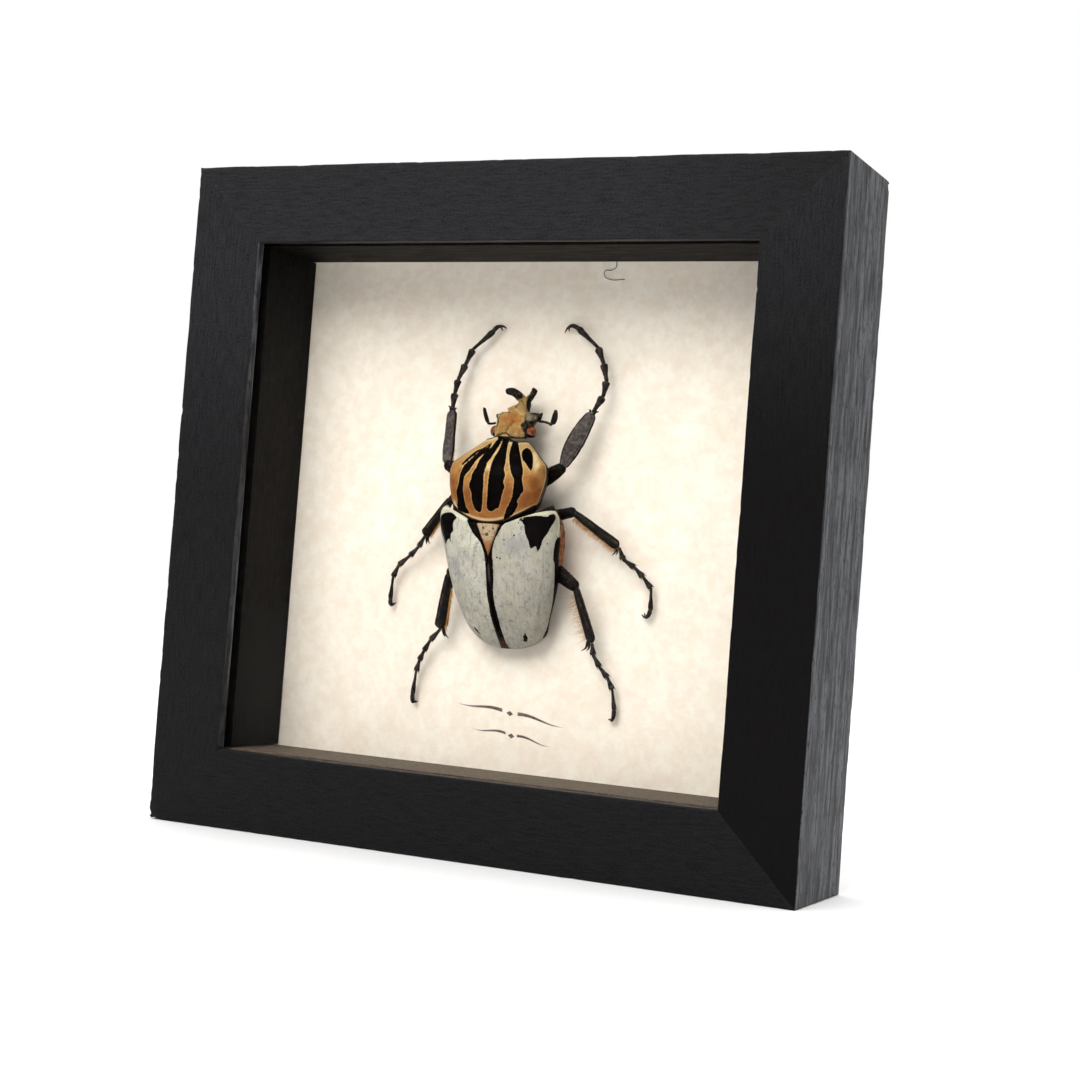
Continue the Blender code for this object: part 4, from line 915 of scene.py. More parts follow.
def wing_case_finish():
    chalk = Finish("chalky_wing_case", roughness=0.6, specular=0.25)
    across, along, spread = chalk.drawn("across"), chalk.drawn("along"), chalk.spread
    flat = chalk.joined(across, 0.0, along)
    chalk.start((172, 167, 153), (196, 190, 173), 0.22, 0.5, 0.16)
    # Painted shade: the right wing case is darker than the left.
    chalk.lay(spread(across, -1.0, 2.0), (132, 124, 108), 0.42)
    chalk.lay(chalk.patchy(flat, 0.14, 0.48, 0.62, 4.0), (176, 168, 164), 0.5)
    lengthways = chalk.noise(chalk.stretched(flat, (1.0, 1.0, 0.22)), 1.1, 6.0, 0.65)
    chalk.lay(spread(lengthways, 0.48, 0.7), (128, 126, 122), 0.7)
    chalk.lay(chalk.patchy(flat, 1.7, 0.42, 0.68, 6.0, 0.7), (144, 140, 132), 0.6)
    chalk.lay(chalk.patchy(flat, 0.5, 0.52, 0.62, 7.0, 0.8), (112, 110, 108), 0.72)
    chalk.lay(chalk.marking("smudge", 2.4, 0.6, 1.5, flat), (126, 125, 127), 0.65)
    chalk.lay(spread(along, 84.0, 97.0), (198, 194, 172), 0.3)
    crack = chalk.placed(cracks, Vector=chalk.stretched(flat, (1.0, 1.0, 0.7)), Scale=0.34, Width=0.05,
                         Amount=0.7)[0]
    pits = chalk.speckled(flat, 0.75, 0.09)
    chalk.lay(crack, (92, 92, 94))
    chalk.lay(pits, (130, 130, 130), 0.4)
    chalk.lay(chalk.marking("band", 0.3, 1.2, 0.3, flat), (208, 201, 174), 0.85)
    black = chalk.marking("black", 0.3, 1.8, 0.05, flat)
    # Painted highlight: a paler stretch of the black seam partway down the wing cases.
    seam_painted_highlight = chalk.times(spread(along, 76.5, 78.5), spread(along, 80.5, 83.0, 1.0, 0.0))
    seam_painted_highlight = chalk.times(spread(chalk.drawn("from_seam"), 0.05, 0.4, 0.35, 0.0), seam_painted_highlight)
    dark = chalk.mixed(spread(along, 62.0, 59.8), paint(8, 4, 4), paint(70, 48, 32))
    dark = chalk.mixed(seam_painted_highlight, dark, paint(110, 96, 84))
    chalk.colour = chalk.mixed(black, chalk.colour, dark)
    dull = chalk.maths("SUBTRACT", 1.0, black)
    grit = chalk.times(chalk.noise(chalk.place, 4.5, 4.0), dull)
    return chalk.finished((lengthways, 0.04), (chalk.maths("ADD", crack, pits), -0.05), (grit, 0.02),
                          Roughness=spread(dull, 0.0, 1.0, 0.4, 0.62),
                          Specular_IOR_Level=spread(dull, 0.0, 1.0, 0.04, 0.2))


chalky = wing_case_finish()
for side_name, side, areas, dots, seam_line, band in (
        ("left", -1, [SHOULDER_LEFT], TIP_LEFT, SEAM_LEFT_SIDE, FRONT_BAND_LEFT),
        ("right", 1, [SHOULDER_RIGHT, TIP_RIGHT], DOTS_RIGHT, SEAM_RIGHT_SIDE, FRONT_BAND_RIGHT)):
    piece = make_wing_case(side_name, side, chalky)
    across, along = np.abs(get_values(piece, "across")), get_values(piece, "along")
    draw(piece, "band", lines=[(band, BAND_HALF_WIDTH)])
    draw(piece, "smudge", dots=SMUDGES[side_name])
    draw(piece, "black", areas, dots=dots)
    seam = seen_on(piece, seam_line)
    seam = seam[np.argsort(seam[:, 1])]
    reach = smooth_between(seam[:, 1] + np.arange(len(seam)) * 1e-4, np.abs(seam[:, 0]), along)
    from_edge = get_values(piece, "from_edge") - BLACK_EDGE_WIDTH
    black = np.minimum.reduce((get_values(piece, "black"), across - reach, from_edge))
    if side > 0:
        inner = seen_on(piece, SIDE_INNER_RIGHT)[::-1]
        from_side_line = smooth_between(inner[:, 1], inner[:, 0], along) - across
        beyond = (along > inner[-1, 1]) | (along < inner[0, 1])
        black = np.minimum(black, np.where(beyond, 1.0, from_side_line))
    black[len(black) // 2:] = -1.0  # the inside
    set_values(piece, black=black)
    hand_over(piece, "chalk_shell", f"elytron_{side_name}")

# %% [markdown]
# ## The front body
# The pronotum, the thorax and the abdomen are skins over bowed rings. A ring is an oval whose upper and lower
# halves have their own heights, and whose sides sit further forward than its middle. The skin's ends are
# rolled over into a lip.

# %% Ringed bodies
# Stations of each body: z at the middle, z at the sides, half width, widest level, crown, underside
PRONOTUM_STATIONS = (
    (93.9, 99.6, 13.1, 14.6, 19.0, 8.0), (95.6, 100.6, 13.7, 14.5, 19.6, 6.6), (98.5, 102.3, 14.1, 14.3, 20.3, 5.8),
    (102.5, 104.8, 14.7, 13.9, 21.1, 5.5), (106.5, 107.7, 15.0, 13.5, 21.2, 5.5),
    (110.0, 110.4, 14.6, 13.1, 20.0, 5.6), (113.2, 113.0, 12.1, 12.0, 17.5, 5.8),
    (116.2, 115.7, 9.1, 10.4, 14.7, 6.1), (118.4, 117.8, 6.6, 9.5, 12.6, 6.6),
)
THORAX_STATIONS = (
    (93.2, 99.4, 15.6, 9.6, 15.8, 1.8), (90.5, 96.4, 17.4, 8.2, 15.6, 0.7), (87.5, 90.5, 18.1, 7.4, 14.6, 0.4),
    (84.0, 85.5, 17.9, 7.0, 13.8, 0.4), (80.5, 81.0, 16.4, 6.6, 13.2, 0.6), (77.6, 77.8, 14.8, 6.3, 12.6, 0.9),
)
ABDOMEN_STATIONS = (
    (77.2, 77.2, 14.0, 6.4, 13.6, 0.9), (73.0, 73.0, 13.2, 5.8, 12.8, 1.0), (67.5, 67.5, 11.5, 4.9, 10.2, 1.2),
    (63.5, 63.5, 9.5, 4.2, 7.6, 1.6), (60.8, 60.8, 6.6, 3.7, 5.4, 2.0), (59.2, 59.2, 3.4, 3.4, 4.3, 2.4),
)
PRONOTUM_MIDLINE = -2.5
LIP_TURNS = np.linspace(0, math.pi / 2, 6)[1:-1]


def oval(turn, widest, top, bottom):
    """Heights around a ring whose upper and lower halves differ."""
    rise = (1 - np.abs(np.cos(turn)) ** SHELL_POWER) ** (1 / SHELL_POWER)
    return widest + np.where(np.sin(turn) > 0, top - widest, bottom - widest) * rise


def around(sides):
    return 2 * math.pi * (np.arange(sides)[None, :] + 0.5) / sides


def ringed_body(stations, middle, rows, sides):
    """Rings of a body in x, z and h, with the map's two measures, the turn around each ring and its half width."""
    z_middle, z_side, half_width, widest, top, bottom = through(stations, rows)
    turn = around(sides)
    z = z_middle + (z_side - z_middle) * np.cos(turn) ** 2
    x = (middle(z_middle) if callable(middle) else middle) + half_width * np.cos(turn)
    across = (math.pi / 2 - turn) * half_width
    across = np.where(turn > 1.5 * math.pi, across + 2 * math.pi * half_width, across)
    return x, z, oval(turn, widest, top, bottom), across, z_middle + 0 * turn, turn + 0 * z_middle, half_width


def add_body(name, x, z, h, across, along, finish, lip=0.5):
    """Close a stack of rings with a rolled lip at each end and make it a piece that carries its map."""
    rings = stacked(x, CARD_Y - h, z)
    lips = []
    for ring, before in ((rings[0], rings[1]), (rings[-1], rings[-2])):
        partner, outward = (ring + ring[::-1]) / 2, unit((ring - before).mean(axis=0))
        height = np.maximum(np.linalg.norm(ring - partner, axis=1, keepdims=True), 1e-6)
        lips.append([partner + (ring - partner) * np.clip(1 - lip * (1 - math.cos(turn)) / height, 0, 1)
                     + outward * lip * math.sin(turn) for turn in LIP_TURNS])
    everything = np.concatenate((lips[0][::-1], rings, lips[1]))
    rows, sides = everything.shape[:2]
    faces = grid_faces(rows, sides, wrap=True)
    for base in (0, (rows - 1) * sides):
        faces += [(base + i, base + i + 1, base + sides - 2 - i, base + sides - 1 - i)
                  for i in range(sides // 2 - 1)]
    piece = add_piece(name, everything * MM, faces, finish)
    beyond = ((len(LIP_TURNS), len(LIP_TURNS)), (0, 0))
    set_values(piece, across=np.pad(across, beyond, "edge"), along=np.pad(along, beyond, "edge"))
    return piece


print("the pronotum's widest ring:", max(row[2] for row in PRONOTUM_STATIONS) * 2, "mm")

# %% [markdown]
# ## The pronotum
# The dome behind the head is ochre with six black stripes that sweep forwards, drawn the same way as above.
# A rim bead runs along its sides and base, and faint hollows give it life.

# %% Markings of the pronotum
STRIPE_OUTER = (
    (492.2, 442.6), (487.4, 445.8), (482.9, 448.4), (477.2, 450.7), (472.1, 454.5), (467.6, 458.3), (463.8, 462.2),
    (461.3, 466.2), (466.3, 462.3), (470.3, 458.8), (475.2, 454.5), (479.1, 451.8), (485.9, 448.0),
)
STRIPE_LEFT = (
    (492.2, 443.8), (487.4, 447.6), (482.9, 450.4), (478.5, 452.9), (474.0, 457.2), (468.3, 462.3), (463.8, 467.3),
    (461.9, 471.2), (460.6, 475.7), (459.6, 481.0), (458.4, 486.5), (456.9, 491.8), (458.0, 500.3), (457.7, 506.0),
    (460.0, 512.5), (465.0, 518.5), (471.5, 521.5), (469.5, 513.5), (466.3, 506.6), (464.7, 498.2), (463.2, 489.7),
    (463.7, 482.4), (464.4, 477.6), (468.3, 471.8), (471.5, 468.0), (474.6, 462.9), (479.7, 457.2), (485.5, 452.7),
    (489.3, 448.9),
)
STRIPE_INNER_LEFT = (
    (498.4, 434.5), (495.8, 442.4), (491.6, 447.6), (485.3, 453.9), (480.0, 460.3), (476.8, 467.6), (472.6, 473.9),
    (471.6, 479.2), (469.5, 485.5), (471.6, 491.8), (472.6, 500.3), (474.7, 506.6), (476.8, 510.8), (480.5, 511.8),
    (482.1, 508.7), (482.6, 500.3), (483.2, 489.7), (483.7, 479.2), (485.3, 468.7), (487.4, 463.4), (491.6, 457.1),
    (496.8, 449.7), (501.1, 442.4), (502.7, 435.6),
)
STRIPE_INNER_RIGHT = (
    (504.4, 434.5), (503.2, 441.3), (500.0, 449.7), (494.7, 458.2), (491.6, 466.6), (489.5, 475.0), (488.4, 484.5),
    (487.9, 495.0), (487.4, 505.5), (488.4, 509.7), (492.6, 511.3), (495.8, 508.7), (498.9, 507.6), (501.1, 500.3),
    (502.6, 492.9), (504.7, 486.6), (503.7, 482.4), (505.3, 475.0), (504.2, 468.7), (505.8, 462.4), (506.8, 451.8),
    (508.9, 441.3), (509.7, 433.0),
)
STRIPES_MEET = (
    (498.9, 428.3), (509.5, 427.6), (510.0, 437.1), (507.4, 439.2), (503.2, 437.6), (498.9, 437.1), (496.8, 434.5),
)
STRIPE_RIGHT = (
    (517.9, 440.3), (513.7, 442.4), (511.6, 447.6), (510.0, 456.1), (510.5, 466.6), (512.6, 476.1), (514.7, 479.2),
    (513.7, 489.7), (512.6, 496.1), (510.5, 502.4), (507.4, 508.7), (504.2, 518.6), (507.4, 518.2), (513.7, 513.4),
    (518.4, 504.5), (517.4, 501.3), (522.1, 492.9), (523.7, 489.7), (522.1, 479.2), (523.2, 470.8), (521.6, 460.3),
    (519.5, 449.7), (518.9, 441.3),
)
OVAL_RIGHT = (
    (527.9, 448.2), (531.6, 451.3), (533.2, 457.1), (533.2, 464.5), (531.6, 470.3), (529.5, 468.7), (526.3, 463.4),
    (523.2, 459.2), (522.1, 453.9), (524.2, 449.7),
)
ORANGE_SPOTS = (
    ((534.7, 484.5), 2.6), ((527.4, 498.2), 2.8), ((507.4, 492.9), 1.6), ((467.4, 492.9), 1.5),
    ((453.7, 482.4), 1.6), ((507.6, 500.5), 1.4), ((536.0, 494.0), 2.2), ((455.5, 492.0), 1.4),
    ((468.9, 500.0), 1.2),
)
CREAM_SPOTS = (
    ((534.7, 458.2), 2.0), ((515.8, 438.2), 1.4), ((455.8, 505.0), 1.6), ((488.6, 466.0), 0.9),
    ((498.5, 452.9), 0.8), ((470.3, 459.5), 0.8), ((537.5, 465.0), 1.6), ((505.8, 447.0), 0.7),
)
STRIPES = (STRIPE_OUTER, STRIPE_LEFT, STRIPE_INNER_LEFT, STRIPE_INNER_RIGHT, STRIPES_MEET, STRIPE_RIGHT, OVAL_RIGHT)
STRIPE_SWELL = 0.1
print("the pronotum has", len(STRIPES), "black areas and", len(ORANGE_SPOTS) + len(CREAM_SPOTS), "spots")

# %% Pronotum


def pronotum_finish():
    shell = Finish("striped_pronotum", roughness=0.5, specular=0.1)
    place, spread, along, rim = shell.place, shell.spread, shell.drawn("along"), shell.drawn("from_rim")
    shell.start((140, 92, 42), (176, 130, 72), 0.3, 0.5, 0.18)
    shell.lay(shell.patchy(place, 2.2, 0.4, 0.75, 5.0), (198, 158, 100), 0.3)
    shell.lay(spread(along, 107.0, 115.0), (190, 160, 112), 0.5)
    low = spread(along, 110.0, 99.0)
    shell.lay(low, (130, 72, 24), 0.7)
    shell.lay(shell.patchy(place, 0.8, 0.46, 0.68, 7.0, 0.72), (102, 60, 26), 0.45)
    shell.lay(shell.marking("orange", 1.2, 0.5, 2.4), (108, 55, 18), 0.7)
    shell.lay(shell.marking("cream", 1.0, 0.7, 1.2), (222, 204, 152), 0.75)
    halo = shell.times(spread(shell.drawn("black"), 0.1, 0.42, 1.0, 0.0), spread(low, 0.0, 1.0, 1.0, 0.45))
    shell.lay(halo, (208, 178, 118), 0.55)
    shell.lay(shell.times(spread(rim, 0.2, 0.4), spread(rim, 0.8, 1.3, 1.0, 0.0)), (208, 186, 142), 0.5)
    shell.lay(spread(rim, 0.14, 0.34, 1.0, 0.0), (24, 16, 14), 0.95)
    black = shell.marking("black", 0.34, 2.0, 0.05)
    shell.lay(black, (7, 3, 3))
    return shell.finished((shell.noise(place, 0.8, 4.0), 0.05), (shell.noise(place, 5.0), 0.012),
                          Specular_IOR_Level=spread(black, 0.0, 1.0, 0.12, 0.02))


x, z, h, across, along, turn, half_width = ringed_body(
    PRONOTUM_STATIONS, PRONOTUM_MIDLINE, rows=120, sides=168)
upper = np.clip(np.sin(turn) * 8, 0, 1)
from_side = np.maximum(half_width * math.pi / 2 - np.abs(across), 0)
from_base, from_front = along - PRONOTUM_STATIONS[0][0], PRONOTUM_STATIONS[-1][0] - along
# The rim bead with a groove beside it, the base's bead, a low hump near the front, and two hollows
h = h + 0.22 * bump(from_side - 0.35, 0.55) * upper - 0.16 * bump(from_side - 1.35, 0.7) * upper
h = h + 0.10 * bump(from_base - 0.35, 0.5) * upper + 0.35 * bump(np.hypot(across, (along - 114.5) * 0.7), 4.5)
for hollow in (-8.6, 8.6):
    h = h - 0.35 * bump(np.hypot(across - hollow, (along - 103.0) * 0.8), 4.0) * upper
h = h + 0.05 * wavy(stacked(x, 0 * x, z), 6.0, 71) * upper
# The front edge reaches forwards left of the middle, and is cut back to the right of it
z = z + np.clip((along - 112.0) / 6.4, 0, 1) ** 2 * (0.5 * bump(x + 4.3, 2.5) - 0.9 * bump(x - 0.8, 4.0))
pronotum = add_body("pronotum_shell", x, z, h, across, along, pronotum_finish(), lip=0.25)
draw(pronotum, "black", STRIPES)
draw(pronotum, "orange", dots=ORANGE_SPOTS)
draw(pronotum, "cream", dots=CREAM_SPOTS)
from_rim = np.minimum.reduce((from_side, from_base, from_front))
set_values(pronotum, black=get_values(pronotum, "black") - STRIPE_SWELL,
           from_rim=np.pad(from_rim, ((len(LIP_TURNS), len(LIP_TURNS)), (0, 0))))
hand_over(pronotum, "striped_shell", "pronotum")

# %% [markdown]
# ## The scutellum
# The small triangle between the wing cases lies in the same dome. It is cream at its base with a few dark
# dots, and orange towards its tip.

# %% Scutellum
SCUTELLUM_DOTS = (((483.6, 527.9), 0.42), ((493.6, 528.5), 0.36), ((487.2, 534.2), 0.52), ((489.6, 531.4), 0.22))


def scutellum_finish():
    shell = Finish("cream_scutellum", roughness=0.5, specular=0.2)
    place = shell.place
    level = shell.maths("ADD", shell.drawn("along"), shell.times(shell.noise(place, 0.9, 4.0), 2.4))
    shell.colour = shell.mixed(shell.spread(level, 88.4, 91.4), paint(142, 86, 42), paint(170, 148, 116))
    shell.lay(shell.patchy(place, 1.1, 0.46, 0.66, 6.0, 0.7), (98, 80, 60), 0.8)
    shell.lay(shell.marking("black", 0.2, 2.0, 0.16), (42, 30, 26), 0.9)
    shell.lay(shell.spread(shell.drawn("from_rim"), 0.15, 0.45, 1.0, 0.0), (120, 84, 54), 0.8)
    return shell.finished((shell.noise(place, 1.2, 4.0), 0.05))


SCUTELLUM_ROWS, SCUTELLUM_COLUMNS, SCUTELLUM_WALL = 60, 41, 0.8
top_z, tip_z = SCUTELLUM_BASE_Z + 0.35, SCUTELLUM_TIP_Z + 0.3
run = np.linspace(0, 1, SCUTELLUM_ROWS)[:, None]
z = top_z - (top_z - tip_z) * run
half = np.maximum(scutellum_half_width(z) - 0.1, 0.15 + 0.5 * np.sqrt(np.clip(1 - run, 0, 1)) * (run > 0.9))
offset = half * np.linspace(-1, 1, SCUTELLUM_COLUMNS)[None, :]
h = np.where(offset < 0, dome(offset, *wing_case_at(z, -1)), dome(offset, *wing_case_at(z, 1)))
h = h - 0.25 * bump(half - np.abs(offset), 0.5) + 0.1
x, z = midline(z) + offset, z + 0 * offset
inside = spot(x, z, h - SCUTELLUM_WALL)
scutellum = walled_sheet("scutellum_shell", spot(x, z, h), inside, scutellum_finish())
set_values(scutellum, across=offset, along=z, from_rim=half - np.abs(offset))
draw(scutellum, "black", dots=SCUTELLUM_DOTS)
hand_over(scutellum, "horn_ochre", "scutellum")

# %% [markdown]
# ## Thorax and abdomen
# Little of them shows past the wing cases: an orange-brown strip with dark spots on the right, and dark lumps
# between the pronotum and the shoulders.

# %% Finishes of the thorax and of the black shell


def thorax_finish():
    shell = Finish("brown_thorax", roughness=0.5, specular=0.2)
    place, front = shell.place, shell.spread(shell.drawn("along"), 90.5, 92.0)
    shell.start((84, 48, 26), (156, 96, 52), 0.5, 0.47, 0.14)
    shell.lay(front, (30, 21, 18))
    shell.lay(shell.speckled(shell.stretched(place, (1.0, 1.0, 0.6)), 0.42, 0.42), (26, 16, 12))
    # Painted highlights: small pale glints on the dark lumps at the front.
    shell.lay(shell.times(shell.speckled(place, 0.9, 0.16), front), (196, 184, 166))
    return shell.finished((shell.noise(place, 0.9, 5.0), 0.25), (shell.noise(place, 4.0), 0.03))


def black_shell(name, base, light, roughness, relief_depth, specular, edge_sheen=None):
    """The horny black of legs, antennae and belly: dark brown where it is rubbed, pitted and ridged."""
    shell = Finish(name, roughness=roughness, specular=specular)
    place = shell.place
    shell.start(base, light, 0.8, 0.56, 0.16)
    if edge_sheen:
        # Painted sheen: a paler band runs inside each edge of a shin, and the black edges beside it are the shell's
        # own.
        from_edge = shell.drawn("from_edge")
        edge_sheen_mask = shell.times(shell.spread(from_edge, 0.9, 0.45), shell.patchy(place, 0.35, 0.4, 0.62))
        shell.lay(edge_sheen_mask, edge_sheen, 0.5)
        shell.lay(shell.spread(from_edge, 0.16, 0.34, 1.0, 0.0), (12, 9, 10))
    shell.lay(shell.rubbed(0.06, 0.9, 0.35), (96, 78, 64))
    shell.lay(shell.patchy(place, 3.4, 0.6, 0.8, 5.0), (120, 110, 102), 0.3)
    rough = shell.spread(shell.noise(place, 1.5), 0.3, 0.7, roughness - 0.1, roughness + 0.12)
    ridged, pits = shell.noise(place, 0.9, 6.0, 0.65), shell.speckled(place, 2.6, 0.3)
    return shell.finished((ridged, relief_depth), (pits, -0.03), Roughness=rough)


shell_black = black_shell("black_shell", (6, 4, 4), (22, 16, 13), 0.4, 0.16, 0.07)
shell_grey = black_shell("grey_foot", (16, 13, 13), (50, 42, 40), 0.42, 0.14, 0.12)
shell_slate = black_shell("slate_shin", (54, 48, 46), (98, 88, 83), 0.5, 0.12, 0.12, edge_sheen=(124, 118, 114))
shell_ridged = black_shell("ridged_shin", (9, 7, 6), (30, 24, 21), 0.42, 0.16, 0.1, edge_sheen=(92, 80, 70))
print("black shells:", shell_black.name, shell_grey.name, shell_slate.name, shell_ridged.name)

# %% Thorax and abdomen
x, z, h, across, along, turn, _ = ringed_body(THORAX_STATIONS, midline, rows=60, sides=120)
lumps = (0.25 + 0.45 * np.clip((z - 92.0) / 3.0, 0, 1)) * wavy(stacked(x, h, z), 3.2, 81)
h = h + lumps * np.clip(np.sin(turn) * 6, 0, 1)
x = x + lumps * 0.8 * np.cos(turn)
hand_over(add_body("thorax_sides", x, z, h, across, along, thorax_finish(), lip=0.8), "brown_shell", "thorax")

x, z, h, across, along, turn, _ = ringed_body(ABDOMEN_STATIONS, midline, rows=60, sides=100)
x = x + 0.25 * np.sin(z * 1.55) * np.cos(turn)
h = h + 0.2 * np.sin(z * 1.55) * (np.sin(turn) < 0)
hand_over(add_body("abdomen_rings", x, z, h, across, along, shell_black), "black_shell", "abdomen")

# %% [markdown]
# ## Limbs
# A limb is a skin over ovals along a path. The stations are joined smoothly, the ends are rounded, and a
# profile can press ridges into the section. The same function makes thighs, shins, claws, spurs and antennae.

# %% Limb skins


def rounded(share):
    return np.sqrt(np.clip(1 - (1 - share) ** 2, 0, 1))


def limb(stations, facing=(0.0, 0.0, 1.0), rows=40, sides=20, ridge=0.0, ridges=3, ends=(1.0, 1.0)):
    """Rings along stations (x, z, h, width, thickness). facing is the flat side's direction in x, z and h."""
    x, z, h, width, thickness = np.array(stations, float).T
    path = spot(x, z, h) / MM
    runs = np.concatenate(([0], np.cumsum(np.linalg.norm(np.diff(path, axis=0), axis=1))))
    length, first, last = runs[-1], width[0] / 2 * ends[0], width[-1] / 2 * ends[1]
    arc = 1 - np.cos(np.linspace(0.12, math.pi / 2, 6))
    at = np.concatenate((arc * first, np.linspace(first, length - last, rows)[1:-1], length - (arc * last)[::-1]))
    rounding = np.where(at > length - last, rounded((length - at) / max(last, 1e-6)), 1.0)
    rounding = np.where(at < first, rounded(at / max(first, 1e-6)), rounding)
    half_width, half_thickness = (smooth_between(runs, values, at) / 2 * rounding for values in (width, thickness))
    centre = np.stack([smooth_between(runs, values, at) for values in path.T], axis=1)
    forward = unit(np.gradient(centre, axis=0))
    side = unit(np.cross(forward, unit(np.array((facing[0], -facing[2], facing[1])))))
    up = np.cross(side, forward)
    turn = 2 * math.pi * np.arange(sides) / sides
    bulge = 1 + ridge * np.cos(turn * ridges * 2)
    return (centre[:, None] + side[:, None] * (half_width[:, None] * np.cos(turn) * bulge)[..., None]
            + up[:, None] * (half_thickness[:, None] * np.sin(turn) * bulge)[..., None]) * MM


def closed_skins(rings_list):
    """Points and faces of several closed skins, each a stack of rings with a point at either end."""
    points, faces = [], []
    for rings in rings_list:
        start, (rows, columns) = len(points), rings.shape[:2]
        points.extend(rings.reshape(-1, 3))
        faces.extend(grid_faces(rows, columns, start, wrap=True))
        for base, ring in ((start, rings[0]), (start + (rows - 1) * columns, rings[-1])):
            faces.extend((base + i, base + (i + 1) % columns, len(points)) for i in range(columns))
            points.append(ring.mean(axis=0))
    return np.array(points), faces


def add_limbs(name, rings_list, finish, rough=0.0, lump=1.6):
    """One piece from several skins. rough is how far the skin swells and sinks, as a share of its radius."""
    bumpy = []
    for number, rings in enumerate(rings_list):
        middle = rings.mean(axis=1, keepdims=True)
        bumpy.append(middle + (rings - middle) * (1 + rough * wavy(rings / MM, lump, 200 + number)[..., None]))
    return add_piece(name, *closed_skins(bumpy), finish)


print("a limb of two stations has rings of", limb(((0, 0, 5, 1, 1), (9, 0, 5, 1, 1))).shape[1], "points")

# %% [markdown]
# ## The head
# The head, its forked horn and the teeth of its shield grew as one. They are drawn as overlapping skins, and a
# voxel remesh with a few rounds of smoothing lets them flow into each other. The forehead is then hollowed and
# the grooves pressed in, point by point.

# %% Shape of the head
# Stations of the head: x of the middle, z, half width, widest level, crown, underside
HEAD_STATIONS = (
    (-2.4, 119.0, 5.0, 7.9, 11.0, 4.8), (-2.0, 120.9, 5.4, 7.3, 10.6, 3.8), (-1.8, 123.0, 5.9, 6.6, 9.6, 3.2),
    (-1.5, 124.6, 6.5, 5.9, 8.4, 2.8), (-1.2, 125.8, 6.8, 5.3, 7.2, 2.8), (-1.1, 126.6, 6.0, 5.0, 6.2, 3.3),
)
# Stations of the horn and of the teeth: x, z, h, width, thickness
HORN_STEM = (
    (-2.3, 125.0, 5.7, 9.6, 2.4), (-1.2, 126.9, 5.1, 7.0, 2.4), (-0.6, 128.2, 4.7, 4.8, 2.3),
    (-0.3, 129.4, 4.3, 4.0, 2.2), (-0.3, 130.7, 4.2, 4.3, 2.0),
)
HORN_LEFT = (
    (-0.6, 130.1, 4.1, 3.3, 1.9), (-1.9, 131.1, 4.9, 2.6, 1.8), (-2.6, 131.9, 5.9, 2.5, 1.7),
    (-3.7, 132.4, 6.9, 2.5, 1.6), (-5.4, 132.4, 7.7, 1.6, 1.2),
)
HORN_RIGHT = (
    (-0.4, 130.1, 4.1, 3.2, 1.9), (1.1, 130.6, 4.9, 2.4, 1.8), (2.8, 131.8, 6.3, 2.0, 1.6),
    (3.7, 132.8, 7.1, 2.2, 1.5), (4.0, 133.3, 7.4, 2.3, 1.3),
)
TOOTH_LEFT = ((-7.0, 124.2, 5.2, 1.9, 1.4), (-8.0, 125.2, 5.4, 1.5, 1.1), (-8.6, 125.9, 5.6, 0.8, 0.6))
TOOTH_RIGHT = ((4.3, 124.2, 5.2, 1.9, 1.3), (5.3, 125.4, 5.5, 1.4, 1.0), (6.1, 126.7, 5.8, 0.7, 0.5))
HORN_FACING = (0.0, 0.35, 1.0)
EYE_RADIUS = 1.7
EYES = {"left": (-7.5, 120.7, 7.3), "right": (4.0, 120.7, 7.9)}
HEAD_VOXEL = 0.14
PIXEL_MM = 0.306  # how much of the head one pixel of the photograph shows
# Lines in pixels, with the depth and the half width of the groove or ridge
HEAD_GROOVES = (
    (((505.7, 432.6), (508.6, 427.2), (512.8, 420.8)), 0.5, 0.55),
    (((527.4, 409.5), (525.5, 415.7), (524.2, 421.5), (521.0, 424.8)), 0.35, 0.5),
    (((503.5, 419.0), (510.0, 416.2), (517.0, 415.0)), 0.16, 0.5),
    (((521.0, 402.0), (523.0, 406.0), (526.0, 409.5)), 0.2, 0.45),
    (((514.0, 431.5), (518.5, 427.5), (522.5, 426.0)), 0.2, 0.6),
)
HEAD_RIDGES = (
    (((500.2, 424.5), (501.2, 419.0), (500.0, 415.5), (504.0, 413.3)), 0.22, 0.7),
    (((530.5, 404.0), (529.5, 409.0), (528.6, 414.0)), 0.25, 0.6),
    (((527.5, 423.2), (533.5, 421.4), (540.0, 421.2)), 0.25, 0.6),
    (((509.6, 428.5), (512.4, 424.0), (515.4, 419.4)), 0.16, 0.45),
    (((505.2, 428.0), (507.2, 424.4), (510.4, 420.4)), 0.14, 0.45),
)
print("the head has", len(HEAD_GROOVES), "grooves and", len(HEAD_RIDGES), "ridges")

# %% Head


def on_photo(piece, pixels):
    """The head's own map is the photograph itself, in millimetres, so an outline may run past its edge."""
    return np.array(pixels, float) * (PIXEL_MM, -PIXEL_MM)


